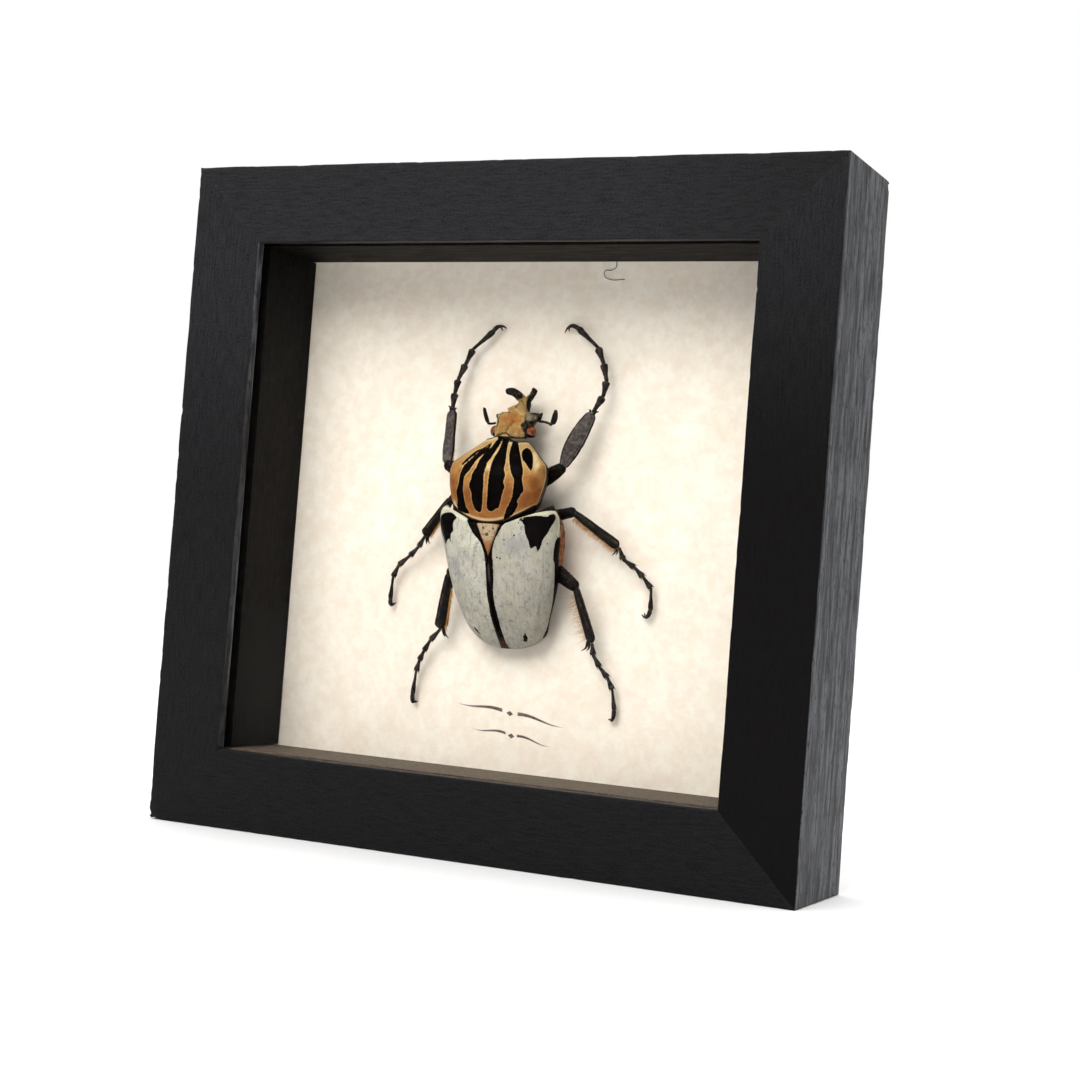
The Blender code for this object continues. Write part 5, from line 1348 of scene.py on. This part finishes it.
def make_head(finish):
    middle, z, half_width, widest, top, bottom = through(HEAD_STATIONS, count=50)
    turn = around(sides=64)
    skins = [spot(middle + half_width * np.cos(turn), z, oval(turn, widest, top, bottom))]
    for stations, ends in ((HORN_STEM, (0.2, 0.8)), (HORN_LEFT, (1.0, 0.9)), (HORN_RIGHT, (1.0, 0.35))):
        skins.append(limb(stations, HORN_FACING, rows=30, sides=24, ends=ends))
    skins += [limb(stations, HORN_FACING, rows=16, sides=16) for stations in (TOOTH_LEFT, TOOTH_RIGHT)]
    piece = add_limbs("head_with_horn", skins, finish)
    remesh = piece.modifiers.new("one skin", "REMESH")
    remesh.mode, remesh.voxel_size = "VOXEL", HEAD_VOXEL * MM
    blur = piece.modifiers.new("flow together", "SMOOTH")
    blur.factor, blur.iterations = 0.6, 9
    skin = plain_mesh(piece)
    piece.modifiers.clear()
    piece.data = skin
    points = points_of(piece) / MM
    flat = pixels_of(points * MM) * (PIXEL_MM, -PIXEL_MM)
    x, z, h = points[:, 0], points[:, 2], CARD_Y - points[:, 1]
    upper = np.clip((h - 4.6) / 1.2, 0, 1)
    h = h - 0.6 * bump(np.hypot((x + 1.6) * 0.75, z - 123.6), 3.2) * upper
    h = h + 0.35 * bump(np.abs(z - 121.6), 1.0) * upper * bump(x + 2.2, 5.5)
    for sign, lines in ((-1, HEAD_GROOVES), (1, HEAD_RIDGES)):
        for line, depth, reach in lines:
            away = distance_to_line(flat, eased(on_photo(piece, line), closed=False))
            h = h + sign * depth * bump(away, reach) * upper
    h = h + 0.09 * wavy(points, 1.6, 91) + 0.06 * wavy(points, 0.8, 92)
    for centre in EYES.values():
        away = np.linalg.norm(stacked(x, z, h) - np.array(centre), axis=1)
        push = np.clip(EYE_RADIUS + 0.12 - away, 0, None) / np.maximum(away, 1e-6)
        x, z, h = (value + (value - middle) * push for value, middle in zip((x, z, h), centre))
    skin.vertices.foreach_set("co", spot(x, z, h).astype(np.float32).ravel())
    skin.shade_smooth()
    skin.update()
    set_values(piece, across=flat[:, 0], along=flat[:, 1])
    return piece


print("the head's map is", PIXEL_MM, "mm to a pixel")

# %% Markings of the head
HEAD_DARK = (
    (527.6, 397.5), (531.0, 393.0), (530.5, 385.0), (541.5, 385.5), (541.5, 392.0), (535.0, 401.0), (534.0, 410.5),
    (539.0, 413.0), (547.0, 408.0), (547.0, 424.0), (541.5, 444.0), (523.5, 444.0), (525.3, 436.5), (522.6, 430.0),
    (520.6, 425.0), (524.2, 421.3), (525.3, 415.7), (526.8, 411.0), (526.6, 404.5),
)
HORN_DARK_LEFT = (
    (500.0, 388.0), (510.0, 384.5), (518.5, 386.5), (523.4, 396.4), (521.6, 398.6), (518.4, 400.0), (514.0, 399.0),
    (506.0, 395.5), (500.0, 394.0),
)
HEAD_PALE = (((529.0, 414.5), 0.85), ((529.2, 417.8), 0.95), ((531.5, 416.5), 0.6), ((536.0, 418.0), 0.45))
HEAD_LINES = (
    (((505.2, 434.0), (506.8, 430.2), (509.4, 426.0), (513.2, 420.4)), 0.13),
    (((497.2, 426.0), (498.9, 420.8), (497.3, 415.7), (498.4, 413.6), (503.3, 411.2), (509.7, 412.3)), 0.24),
    (
        (
            (493.0, 437.8), (500.0, 434.4), (505.7, 433.0), (510.0, 435.8), (514.7, 437.9), (521.0, 438.9),
            (527.0, 437.0),
        ),
        0.3,
    ),
    (((521.4, 400.0), (524.0, 404.0), (525.6, 408.5)), 0.12),
    (((519.3, 402.5), (518.0, 405.4), (515.5, 407.8)), 0.12),
)
HEAD_ORANGE = (
    ((512.5, 419.0), 1.9), ((506.0, 418.5), 1.0), ((517.5, 421.5), 1.2), ((509.5, 424.0), 1.0),
    ((503.5, 425.5), 0.7), ((520.5, 429.0), 0.7),
)
HORN_GREEN = (((523.5, 402.5), 1.6), ((524.5, 398.5), 1.3), ((522.5, 408.0), 1.0))


def head_finish():
    shell = Finish("ochre_head", roughness=0.5, specular=0.1)
    place = shell.place
    shell.start((138, 106, 58), (176, 142, 90), 0.5, 0.5, 0.16)
    shell.lay(shell.marking("orange", 1.0, 0.8, 1.1), (148, 90, 38), 0.85)
    shell.lay(shell.marking("green", 0.8, 0.9, 0.8), (128, 108, 66), 0.85)
    shell.lay(shell.patchy(place, 1.8, 0.48, 0.7, 6.0, 0.7), (96, 66, 32), 0.6)
    light = shell.colour
    olive = shell.times(shell.patchy(place, 0.9, 0.5, 0.7, 5.0), 0.7)
    shell.colour = shell.mixed(olive, paint(13, 9, 8), paint(88, 74, 52))
    shell.lay(shell.marking("pale", 0.5, 1.2, 0.45), (134, 124, 98), 0.75)
    shell.colour = shell.mixed(shell.marking("black", 0.3, 0.9, 0.18), light, shell.colour)
    shell.lay(shell.marking("lines", 0.16, 2.0, 0.12), (44, 28, 18), 0.88)
    return shell.finished((shell.noise(place, 1.3, 5.0), 0.14), (shell.noise(place, 5.0), 0.025))


head = make_head(head_finish())
draw(head, "black", [HEAD_DARK, HORN_DARK_LEFT], find=on_photo)
draw(head, "lines", lines=HEAD_LINES, find=on_photo)
for label, dots in (("orange", HEAD_ORANGE), ("pale", HEAD_PALE), ("green", HORN_GREEN)):
    draw(head, label, dots=dots, find=on_photo)
hand_over(head, "horn_ochre", "head")

# %% [markdown]
# ## The eyes
# An eye is a polished amber bead with a dark ring where it meets the head, and hundreds of tiny facets that
# only soften its highlight.

# %% Eyes
HEAD_MIDDLE_X = -1.75
EYE_SIDES, EYE_ROWS, POLE_GAP = 64, 48, 0.03
amber = Finish("amber_eye", roughness=0.14, specular=0.35, Coat_Weight=0.3, Coat_Roughness=0.04)
amber.start((70, 29, 11), (134, 67, 28), 0.8, 0.5, 0.2)
amber.lay(amber.spread(amber.drawn("from_middle"), 0.17, 0.30), (16, 9, 7))
amber.finished((amber.speckled(amber.place, 9.0, 0.6), 0.006))
turn = np.linspace(0, 2 * math.pi, EYE_SIDES, endpoint=False)[None, :]
tilt = np.linspace(POLE_GAP, math.pi - POLE_GAP, EYE_ROWS)[:, None]
for side_name, (x, z, h) in EYES.items():
    rings = spot(x + EYE_RADIUS * np.sin(tilt) * np.cos(turn), z + EYE_RADIUS * np.sin(tilt) * np.sin(turn),
                 h + EYE_RADIUS * np.cos(tilt))
    eye = add_limbs(f"eye_bead_{side_name}", [rings], amber.material)
    looking = unit(np.array((math.copysign(0.55, x - HEAD_MIDDLE_X), -0.75, 0.35)))
    forwards = (points_of(eye).astype(float) - spot(x, z, h)) @ looking / MM / EYE_RADIUS
    set_values(eye, from_middle=0.5 - forwards * 0.5)
    hand_over(eye, "amber_eye", f"eye_{side_name}")

# %% [markdown]
# ## The antennae
# A stalk of small joints, and a club of three thin leaves laid together like a closed book.

# %% Antennae
# Stations of stalk and club, from the head outwards: x, z, h and width
ANTENNA_STALKS = {
    "right": (
        (5.45, 124.1, 6.6, 0.85), (7.0, 124.0, 6.7, 0.7), (8.6, 123.7, 6.9, 0.66), (9.7, 123.3, 7.0, 0.9),
        (10.0, 123.5, 7.0, 0.8),
    ),
    "left": (
        (-8.15, 123.3, 6.5, 0.75), (-8.9, 123.0, 6.7, 0.64), (-9.7, 122.9, 6.9, 0.68), (-10.4, 123.0, 7.0, 0.8),
        (-10.6, 123.3, 7.0, 0.7),
    ),
}
ANTENNA_CLUBS = {
    "right": (
        (9.95, 123.3, 7.0, 0.9), (10.3, 124.1, 6.9, 1.65), (10.5, 125.2, 6.7, 1.76), (10.5, 126.5, 6.4, 1.3),
        (10.3, 127.6, 6.0, 0.6),
    ),
    "left": (
        (-10.5, 123.1, 7.0, 0.7), (-10.9, 123.9, 6.95, 1.05), (-11.5, 125.1, 6.75, 1.08), (-12.2, 126.6, 6.35, 0.9),
        (-12.6, 127.6, 6.0, 0.45),
    ),
}
BEAD_SHARES, BEAD_SWELLS = (0.55, 0.8, 1.0), (0.9, 1.25, 0.9)
LEAVES = ((-0.36, 0.92), (0.0, 1.0), (0.36, 0.92))  # level and share of the club's width
LEAF_THICKNESS = 0.40


def between(start, end, share):
    return tuple(a + (b - a) * share for a, b in zip(start, end))


for side_name in ("left", "right"):
    stalk = [(*station, station[-1]) for station in ANTENNA_STALKS[side_name]]
    parts = [limb(stalk, rows=40, sides=14)]
    for start, end in zip(stalk[:-1], stalk[1:]):
        bead = [between(start, end, share) for share in BEAD_SHARES]
        bead = [(*place, width * swell, width * swell) for (*place, width, _), swell in zip(bead, BEAD_SWELLS)]
        parts.append(limb(bead, rows=10, sides=14))
    for level, share in LEAVES:
        leaf = [(x, z, h + level, width * share, LEAF_THICKNESS) for x, z, h, width in ANTENNA_CLUBS[side_name]]
        parts.append(limb(leaf, rows=24, sides=16))
    hand_over(add_limbs(f"antenna_jointed_{side_name}", parts, shell_black), "black_shell", f"antenna_{side_name}")

# %% [markdown]
# ## The legs
# The same numbers place each leg as in the model: hip, knee, ankle and the joints of the foot. A thigh is a
# thick oval. A shin is flatter, ridged lengthwise, and armed with spurs. A foot is five cup-shaped joints,
# each set in the one before, and two hooked claws.

# %% Leg tables
LEG_NUMBERS = ("hip", "knee", "ankle", "joints", "arch", "claws", "shin", "roll", "bow", "spurs")
LEGS = {
    "front_left": (
        (-9.3, 104.9, 4.6), (-22.1, 110.4, 8.4), (-22.9, 126.6, 6.2),
        ((-23.2, 131.6, 5.0), (-22.7, 135.7, 4.4), (-21.0, 140.4, 3.8), (-19.2, 145.0, 3.2), (-13.0, 150.6, 2.6)),
        (-11.6, 153.2, 2.6), ((-9.8, 151.5, 1.0), (-11.0, 150.9, 1.0)), (2.2, 3.4, 3.9, 3.5, 3.4, 3.3, 3.0), -5.0,
        0.0, ((-1.9, 1.5, 0.0), (1.8, 0.7, 0.0)),
    ),
    "front_right": (
        (3.3, 104.9, 4.6), (15.2, 110.9, 9.0), (22.0, 127.1, 6.2),
        ((24.3, 131.9, 5.0), (24.8, 136.4, 4.4), (23.2, 141.4, 3.8), (20.8, 146.1, 3.2), (13.7, 151.8, 2.6)),
        (10.8, 153.6, 2.6), ((9.0, 150.5, 1.0), (10.3, 150.9, 1.0)), (1.9, 3.1, 4.5, 4.9, 4.2, 3.3, 2.8), 20.0,
        -0.4, ((2.4, 0.4, 0.0), (-1.7, 1.1, 0.0)),
    ),
    "middle_left": (
        (-7.9, 95.0, 3.6), (-19.6, 100.6, 8.6), (-29.5, 89.2, 4.9),
        ((-31.6, 86.0, 4.2), (-34.6, 83.2, 3.7), (-38.4, 80.2, 3.2), (-40.3, 76.6, 2.8), (-41.1, 69.8, 2.0)),
        (-41.0, 67.4, 2.2), ((-39.5, 69.0, 1.0), (-40.2, 68.3, 1.0)), (1.9, 2.3, 2.7, 2.9, 3.2, 3.4, 2.9), 35.0,
        0.0, ((1.9, -2.7, -1.0), (0.4, -3.1, -1.4)),
    ),
    "middle_right": (
        (3.6, 95.4, 3.6), (19.4, 98.6, 8.8), (32.6, 89.6, 4.9),
        ((33.9, 86.2, 4.2), (37.3, 84.2, 3.7), (39.9, 81.7, 3.2), (42.4, 78.7, 2.8), (42.4, 72.4, 2.0)),
        (41.6, 69.2, 2.2), ((39.4, 71.2, 1.0), (40.2, 71.7, 1.0)), (1.9, 2.3, 2.7, 2.9, 3.2, 3.4, 2.9), -35.0, 0.0,
        ((-2.9, -3.1, -1.0), (-1.6, -2.9, -1.6)),
    ),
    "hind_left": (
        (-8.8, 85.0, 3.4), (-18.6, 78.9, 8.2), (-21.9, 62.4, 4.9),
        ((-25.3, 58.9, 4.2), (-27.5, 55.6, 3.6), (-29.1, 52.7, 3.0), (-30.2, 49.3, 2.5), (-31.2, 42.3, 1.8)),
        (-31.2, 39.4, 2.0), ((-29.6, 40.5, 1.0), (-30.7, 40.1, 1.0)), (2.1, 2.5, 3.0, 3.3, 3.6, 3.8, 3.3), 35.0,
        0.0, ((1.7, -2.9, -0.9), (2.9, -3.2, -1.3)),
    ),
    "hind_right": (
        (6.2, 86.0, 3.4), (21.9, 77.6, 8.8), (26.6, 62.1, 4.9),
        ((26.9, 58.7, 4.2), (28.9, 55.5, 3.6), (31.3, 52.7, 3.0), (32.8, 49.5, 2.5), (33.6, 43.7, 1.8)),
        (33.8, 40.3, 2.0), ((31.6, 41.0, 1.0), (32.4, 40.6, 1.0)), (2.1, 2.5, 3.0, 3.3, 3.6, 3.8, 3.3), -35.0, 0.0,
        ((-4.4, -3.2, -0.9), (-2.6, -3.0, -1.5)),
    ),
}
LEGS = {name: dict(zip(LEG_NUMBERS, numbers)) for name, numbers in LEGS.items()}
THIGH_RUNS, THIGH_WIDTHS, THIGH_THICKNESSES = (0.0, 0.2, 0.5, 0.85), (2.4, 4.0, 4.6, 3.8), (2.0, 2.8, 3.2, 3.0)
KNEE_REACH, KNEE_WIDTH, KNEE_THICKNESS = 0.9, 2.9, 2.7
SHIN_RUNS, SHIN_THICKNESSES = (0.0, 0.1, 0.3, 0.5, 0.75, 0.92, 1.0), (1.4, 1.7, 2.0, 2.0, 2.1, 2.1, 1.7)
SHIN_ROWS, SHIN_SIDES = 70, 32
SPUR_SHARE = 0.8  # spurs stop a little short of their solids
MIDDLE_THIGH = 0.8  # the middle thighs are slimmer than their solids
SPUR_SECTIONS = ((0.95, 0.9), (0.6, 0.55), (0.14, 0.14))
FOOT_RUNS, FOOT_WIDTHS = (0.0, 0.3, 0.62, 0.86, 1.0), (0.52, 0.56, 0.8, 1.0, 0.78)
FOOT_WIDTH, THORNY_FOOT_WIDTH, LAST_JOINT_SHARE = 2.3, 1.85, 0.8
THORN_SECTIONS = ((0.3, 0.3), (0.2, 0.2), (0.08, 0.08))
CLAW_LEVELS, CLAW_WIDTH, CLAW_RUNS = (-0.5, 0.5), 1.35, (0.0, 0.2, 0.4, 0.6, 0.8, 1.0)
print("legs:", ", ".join(LEGS))

# %% Thighs and shins


def thigh_parts(leg, slim):
    hip, knee = leg["hip"], leg["knee"]
    stations = [(*between(hip, knee, run), width * slim, thickness)
                for run, width, thickness in zip(THIGH_RUNS, THIGH_WIDTHS, THIGH_THICKNESSES)]
    stations.append((*between(hip, knee, 1 + KNEE_REACH / math.dist(hip, knee)), KNEE_WIDTH, KNEE_THICKNESS))
    return [limb(stations, rows=60, sides=36, ridge=0.035, ridges=5)]


def shin_parts(leg):
    knee, ankle, roll = leg["knee"], leg["ankle"], math.radians(leg["roll"])
    stations = []
    for run, width, thickness in zip(SHIN_RUNS, leg["shin"], SHIN_THICKNESSES):
        x, z, h = between(knee, ankle, run)
        stations.append((x + leg["bow"] * math.sin(math.pi * run), z, h, width, thickness))
    facing = (math.sin(roll), 0.0, math.cos(roll))
    parts = [limb(stations, facing, rows=SHIN_ROWS, sides=SHIN_SIDES, ridge=0.05)]
    root = between(knee, ankle, 1.0 - 1.3 / math.dist(knee, ankle))
    for tip in leg["spurs"]:
        tip = tuple(SPUR_SHARE * value for value in tip)
        base = (a + 0.25 * b for a, b in zip(root, tip))
        middle = (a + 0.55 * b + 0.12 * (b > 0) for a, b in zip(ankle, tip))
        end = (a + b for a, b in zip(ankle, tip))
        spur = [(*place, *size) for place, size in zip((base, middle, end), SPUR_SECTIONS)]
        parts.append(limb(spur, rows=14, sides=12))
    return parts


def shin_margin(parts):
    """How far each point of a shin is from its two sharp edges, in millimetres, and 0 on its spurs."""
    rings = parts[0] / MM
    widths = np.linalg.norm(rings[:, 0] - rings[:, SHIN_SIDES // 2], axis=1)[:, None]
    from_edge = widths / 2 * (1 - np.abs(np.cos(2 * math.pi * np.arange(SHIN_SIDES) / SHIN_SIDES)))
    others = 2 + sum(rings.shape[0] * rings.shape[1] + 2 for rings in parts[1:])
    return np.concatenate((from_edge.ravel(), np.zeros(others)))


print("a front shin has", len(shin_margin(shin_parts(LEGS["front_left"]))), "points")

# %% Feet and finished legs


def foot_parts(leg, thorns):
    joints = (leg["ankle"], *leg["joints"])
    parts = []
    for index, (start, end) in enumerate(zip(joints[:-1], joints[1:])):
        last = index == len(joints) - 2
        flare = (THORNY_FOOT_WIDTH if thorns else FOOT_WIDTH) * (LAST_JOINT_SHARE if last else 1.0)
        length = math.dist(start, end)
        begin = between(start, end, -0.25 / length) if index else start
        stations = [(*between(begin, end, run), flare * width, flare * width * 0.92)
                    for run, width in zip(FOOT_RUNS, FOOT_WIDTHS)]
        parts.append(limb(stations, rows=22, sides=18, ridge=0.03, ends=(0.6, 0.5)))
        if last or not thorns:
            continue
        along = np.subtract(end, start)
        sideways = np.array((along[1], -along[0], 0.0)) / max(math.hypot(along[0], along[1]), 1e-6)
        for hand in (-1, 1):
            root = between(start, end, 0.86) + sideways * hand * flare * 0.34
            tip = between(start, end, 1.0 + 0.35 / length) + sideways * hand * flare * 0.5 - (0, 0, 0.2)
            places = (root, root * 0.4 + tip * 0.6, tip)
            thorn = [(*place, *size) for place, size in zip(places, THORN_SECTIONS)]
            parts.append(limb(thorn, rows=8, sides=8))
    base = between(leg["joints"][-2], leg["joints"][-1], 0.95)
    for level, tip in zip(CLAW_LEVELS, leg["claws"]):
        crest = leg["arch"] + np.array((0.0, 0.0, level))
        path = []
        for share in CLAW_RUNS:
            width = CLAW_WIDTH * (1 - 0.8 * share**1.4)
            place = between(between(base, crest, share), between(crest, tip, share), share)
            path.append((*place, width, width * 0.8))
        parts.append(limb(path, rows=26, sides=14))
    return parts


for name, leg in LEGS.items():
    front, parts = name.startswith("front"), shin_parts(leg)
    slim = MIDDLE_THIGH if name.startswith("middle") else 1.0
    thigh = add_limbs(f"thigh_{name}", thigh_parts(leg, slim), shell_black, rough=0.05)
    shin = add_limbs(f"shin_{name}", parts, shell_slate if front else shell_ridged, rough=0.02)
    foot = add_limbs(f"foot_{name}", foot_parts(leg, not front), shell_grey, rough=0.07, lump=1.1)
    set_values(shin, from_edge=shin_margin(parts))
    for piece, kind in ((thigh, "femur"), (shin, "tibia"), (foot, "tarsus")):
        hand_over(piece, "black_shell", f"{kind}_{name}")

# %% [markdown]
# ## The fringes of hair
# Orange bristles stand in rows along the shins. A row follows an edge, so Geometry Nodes make it: the edge is
# a curve, its points are spread along it, and each point gets one tapered, slightly bent hair, turned and
# sized by a seeded random value. Instances are realized, so that each fringe is a plain mesh in the end.

# %% Fringe tree
fringe, given, result = effect("fringe of hair", {"Geometry": GEOMETRY}, {
    "Geometry": GEOMETRY, "Hairs": 40, "Length": 0.002, "Radius": 0.00004, "Away": (0.0, 0.0, -1.0),
    "Disorder": 0.3, "Bend": 0.2, "Seed": 0, "Material": "NodeSocketMaterial"}, kind="GeometryNodeTree")
roots = fringe.add("GeometryNodeResampleCurve", {"Curve": given["Geometry"], "Count": given["Hairs"]}).outputs[0]
tip = fringe.joined(fringe.times(given["Bend"], 1.6), 0.0, 1.0)
hair = fringe.add("GeometryNodeCurvePrimitiveBezierSegment", {
    "Resolution": 6, "Start": (0.0, 0.0, 0.0), "Start Handle": (0.0, 0.0, 0.35),
    "End Handle": fringe.joined(given["Bend"], 0.0, 0.7), "End": tip})
run = fringe.add("GeometryNodeSplineParameter").outputs["Factor"]
taper = fringe.add("ShaderNodeMapRange", {0: run, 1: 0.0, 2: 1.0, 3: 1.0, 4: 0.12}).outputs[0]
thin = fringe.times(fringe.maths("DIVIDE", given["Radius"], given["Length"]), taper)
hair = fringe.add("GeometryNodeSetCurveRadius", {"Curve": hair.outputs[0], "Radius": thin}).outputs[0]
section = fringe.add("GeometryNodeCurvePrimitiveCircle", {"Resolution": 4, "Radius": 1.0}).outputs[0]
hair = fringe.add("GeometryNodeCurveToMesh", {"Curve": hair, "Profile Curve": section, "Fill Caps": True})
if "Scale" in hair.inputs:
    fringe.feed(hair.inputs["Scale"], thin)
shake = fringe.add("FunctionNodeRandomValue", {
    "Min": (-1.0, -1.0, -1.0), "Max": (1.0, 1.0, 1.0), "Seed": given["Seed"]}, data_type="FLOAT_VECTOR").outputs[0]
shake = fringe.vector_maths("SCALE", {0: shake, 3: given["Disorder"]})
towards = fringe.vector_maths("ADD", {0: given["Away"], 1: shake})
aim = fringe.add("FunctionNodeAlignRotationToVector", {"Vector": towards}, axis="Z").outputs[0]
size_seed = fringe.maths("ADD", given["Seed"], 7.0)
uneven = fringe.add("FunctionNodeRandomValue", {2: 0.55, 3: 1.1, "Seed": size_seed}, data_type="FLOAT").outputs[1]
planted = fringe.add("GeometryNodeInstanceOnPoints", {
    "Points": roots, "Instance": hair.outputs[0], "Rotation": aim, "Scale": fringe.times(uneven, given["Length"])})
real = fringe.add("GeometryNodeRealizeInstances", {0: planted.outputs[0]}).outputs[0]
dressed = fringe.add("GeometryNodeSetMaterial", {"Geometry": real, "Material": given["Material"]}).outputs[0]
fringe.feed(result["Geometry"], dressed)
print("fringe tree has", len(fringe.tree.nodes), "nodes")

# %% Fringes
orange = Finish("orange_hair", roughness=0.5, specular=0.3)
orange.start((146, 92, 36), (206, 154, 84), 1.2, 0.5, 0.25)
orange_hair = orange.finished()
HAIR_RADIUS, BEND = 0.055, 0.2
# leg: start, end, side, direction in x, z and h, hairs, length, disorder
FRINGES = {
    "middle_right": (0.08, 0.98, 1, (-0.45, -1.0, -0.15), 430, 1.9, 0.3),
    "hind_right": (0.12, 0.90, 1, (-1.0, -0.85, -0.2), 100, 3.2, 0.45),
    "hind_left": (0.25, 0.96, -1, (0.75, -0.75, -0.2), 190, 1.7, 0.38),
    "middle_left": (0.15, 0.92, -1, (0.6, -1.0, -0.2), 170, 1.6, 0.38),
    "front_left": (0.02, 0.24, 1, (0.5, 1.0, -0.2), 90, 1.2, 0.30),
}


def new_curve(name, kind, count):
    """A curve in space with one spline of some points."""
    curve = bpy.data.curves.new(name, "CURVE")
    curve.dimensions = "3D"
    spline = curve.splines.new(kind)
    points = spline.points if kind == "POLY" else spline.bezier_points
    points.add(count - 1)
    return curve, points


def add_hair(name, drawing, finish):
    """Turn a drawn curve into a plain mesh piece and hand it over."""
    mesh = plain_mesh(drawing)
    bpy.data.objects.remove(drawing)
    mesh.shade_smooth()
    hand_over(give(linked(name, mesh), finish), "black_shell")


def shin_edge(leg, start, end, hand, count=8):
    """Points along one edge of a shin. hand is 1 or -1 for the side, seen with the knee up."""
    knee, along = np.array(leg["knee"]), np.subtract(leg["ankle"], leg["knee"])
    sideways = np.array((along[1], -along[0], 0.0)) / math.hypot(along[0], along[1])
    return knee + along * np.linspace(start, end, count)[:, None] + sideways * hand * leg["shin"][3] * 0.4


sockets = {item.name: item.identifier for item in fringe.tree.interface.items_tree if item.in_out == "INPUT"}
for seed, (name, (start, end, hand, away, hairs, length, disorder)) in enumerate(FRINGES.items(), 100):
    path = shin_edge(LEGS[name], start, end, hand)
    line, points = new_curve(f"fringe_{name}", "POLY", len(path))
    for point, place in zip(points, path):
        point.co = (*spot(*place), 1.0)
    drawing = linked(f"fringe_{name}_path", line)
    modifier = drawing.modifiers.new("fringe", "NODES")
    modifier.node_group = fringe.tree
    for label, value in {"Hairs": hairs, "Length": length * MM, "Radius": HAIR_RADIUS * MM, "Disorder": disorder,
                         "Away": (away[0], -away[2], away[1]), "Bend": BEND, "Seed": seed,
                         "Material": orange_hair}.items():
        modifier[sockets[label]] = value
    add_hair(f"fringe_{name}", drawing, orange_hair)

# %% [markdown]
# ## A stray hair
# One short curled hair lies on the parchment above the beetle. It is a curve with a bevel, laid on the paper
# by the pixels where the photograph shows it.

# %% Stray hair
HAIR_PATH = (
    (616.8, 262.0), (616.8, 267.0), (611.9, 270.5), (605.6, 271.0), (605.0, 276.0), (610.5, 279.6), (625.0, 279.6),
)
STRAY_RADIUS, STRAY_LEVEL = 0.10, 0.45
line, points = new_curve("stray_hair_curve", "BEZIER", len(HAIR_PATH))
line.bevel_depth, line.bevel_resolution, line.resolution_u = STRAY_RADIUS * MM, 2, 8
for point, direction in zip(points, map(ray_through, HAIR_PATH)):
    point.co = CAMERA_AT + direction * (((CARD_Y - STRAY_LEVEL) * MM - CAMERA_AT.y) / direction.y)
    point.handle_left_type = point.handle_right_type = "AUTO"
add_hair("stray_hair", linked("stray_hair_drawing", line), shell_black)

# %% [markdown]
# ## Floor, light and air
# A large pale floor carries the frame's shadow, a broad lamp stands in front, above and a little to the left,
# and the world fills the shadows.

# %% Stage
FLOOR_HALF, FLOOR_DROP = 3.0, 0.0002
LAMP_SIZE, LAMP_POWER, LAMP_COLOUR = 1.0, 9.2, (1.0, 0.985, 0.965)
LAMP_AT, LAMP_AIM = Vector((-0.14, -0.98, 0.92)), Vector((0.0, 0.0, 0.09))
pale = Finish("pale_floor", roughness=0.9, specular=0.1)
pale.start((243, 243, 243), (248, 248, 248), 0.01, 0.5, 0.3)
floor_mesh = bpy.data.meshes.new("pale_floor")
corners = [(FLOOR_HALF * x, FLOOR_HALF * y, -FLOOR_DROP) for x, y in ((-1, -1), (1, -1), (1, 1), (-1, 1))]
floor_mesh.from_pydata(corners, [], [(0, 1, 2, 3)])
give(linked("pale_floor", floor_mesh), pale.finished())

bpy.context.scene.view_settings.view_transform = "Standard"
world = bpy.data.worlds.new("studio")
world.use_nodes = True
bpy.context.scene.world = world
air = Nodes(world.node_tree)
sky = air.tree.nodes["Background"]
sky.inputs["Color"].default_value = (1.0, 1.0, 1.0, 1.0)
towards = air.split(air.add("ShaderNodeTexCoord").outputs["Generated"])
strength = air.maths("ADD", air.spread(towards["Y"], -0.9, 0.1, 0.10, 0.85), air.spread(towards["Z"], 0.3, 0.9))
air.feed(sky.inputs["Strength"], strength)
is_camera = air.add("ShaderNodeLightPath").outputs["Is Camera Ray"]
white = air.add("ShaderNodeBackground", {"Color": (1.0, 1.0, 1.0, 1.0), "Strength": 1.0}).outputs[0]
either = air.add("ShaderNodeMixShader", {0: is_camera, 1: sky.outputs[0], 2: white}).outputs[0]
air.feed(air.tree.nodes["World Output"].inputs["Surface"], either)

lamp_data = bpy.data.lights.new("key_lamp", "AREA")
lamp_data.shape, lamp_data.size, lamp_data.energy, lamp_data.color = "DISK", LAMP_SIZE, LAMP_POWER, LAMP_COLOUR
lamp = linked("key_lamp", lamp_data)
lamp.location = LAMP_AT
lamp.rotation_euler = (LAMP_AIM - LAMP_AT).to_track_quat("-Z", "Y").to_euler()
print("stage ready")
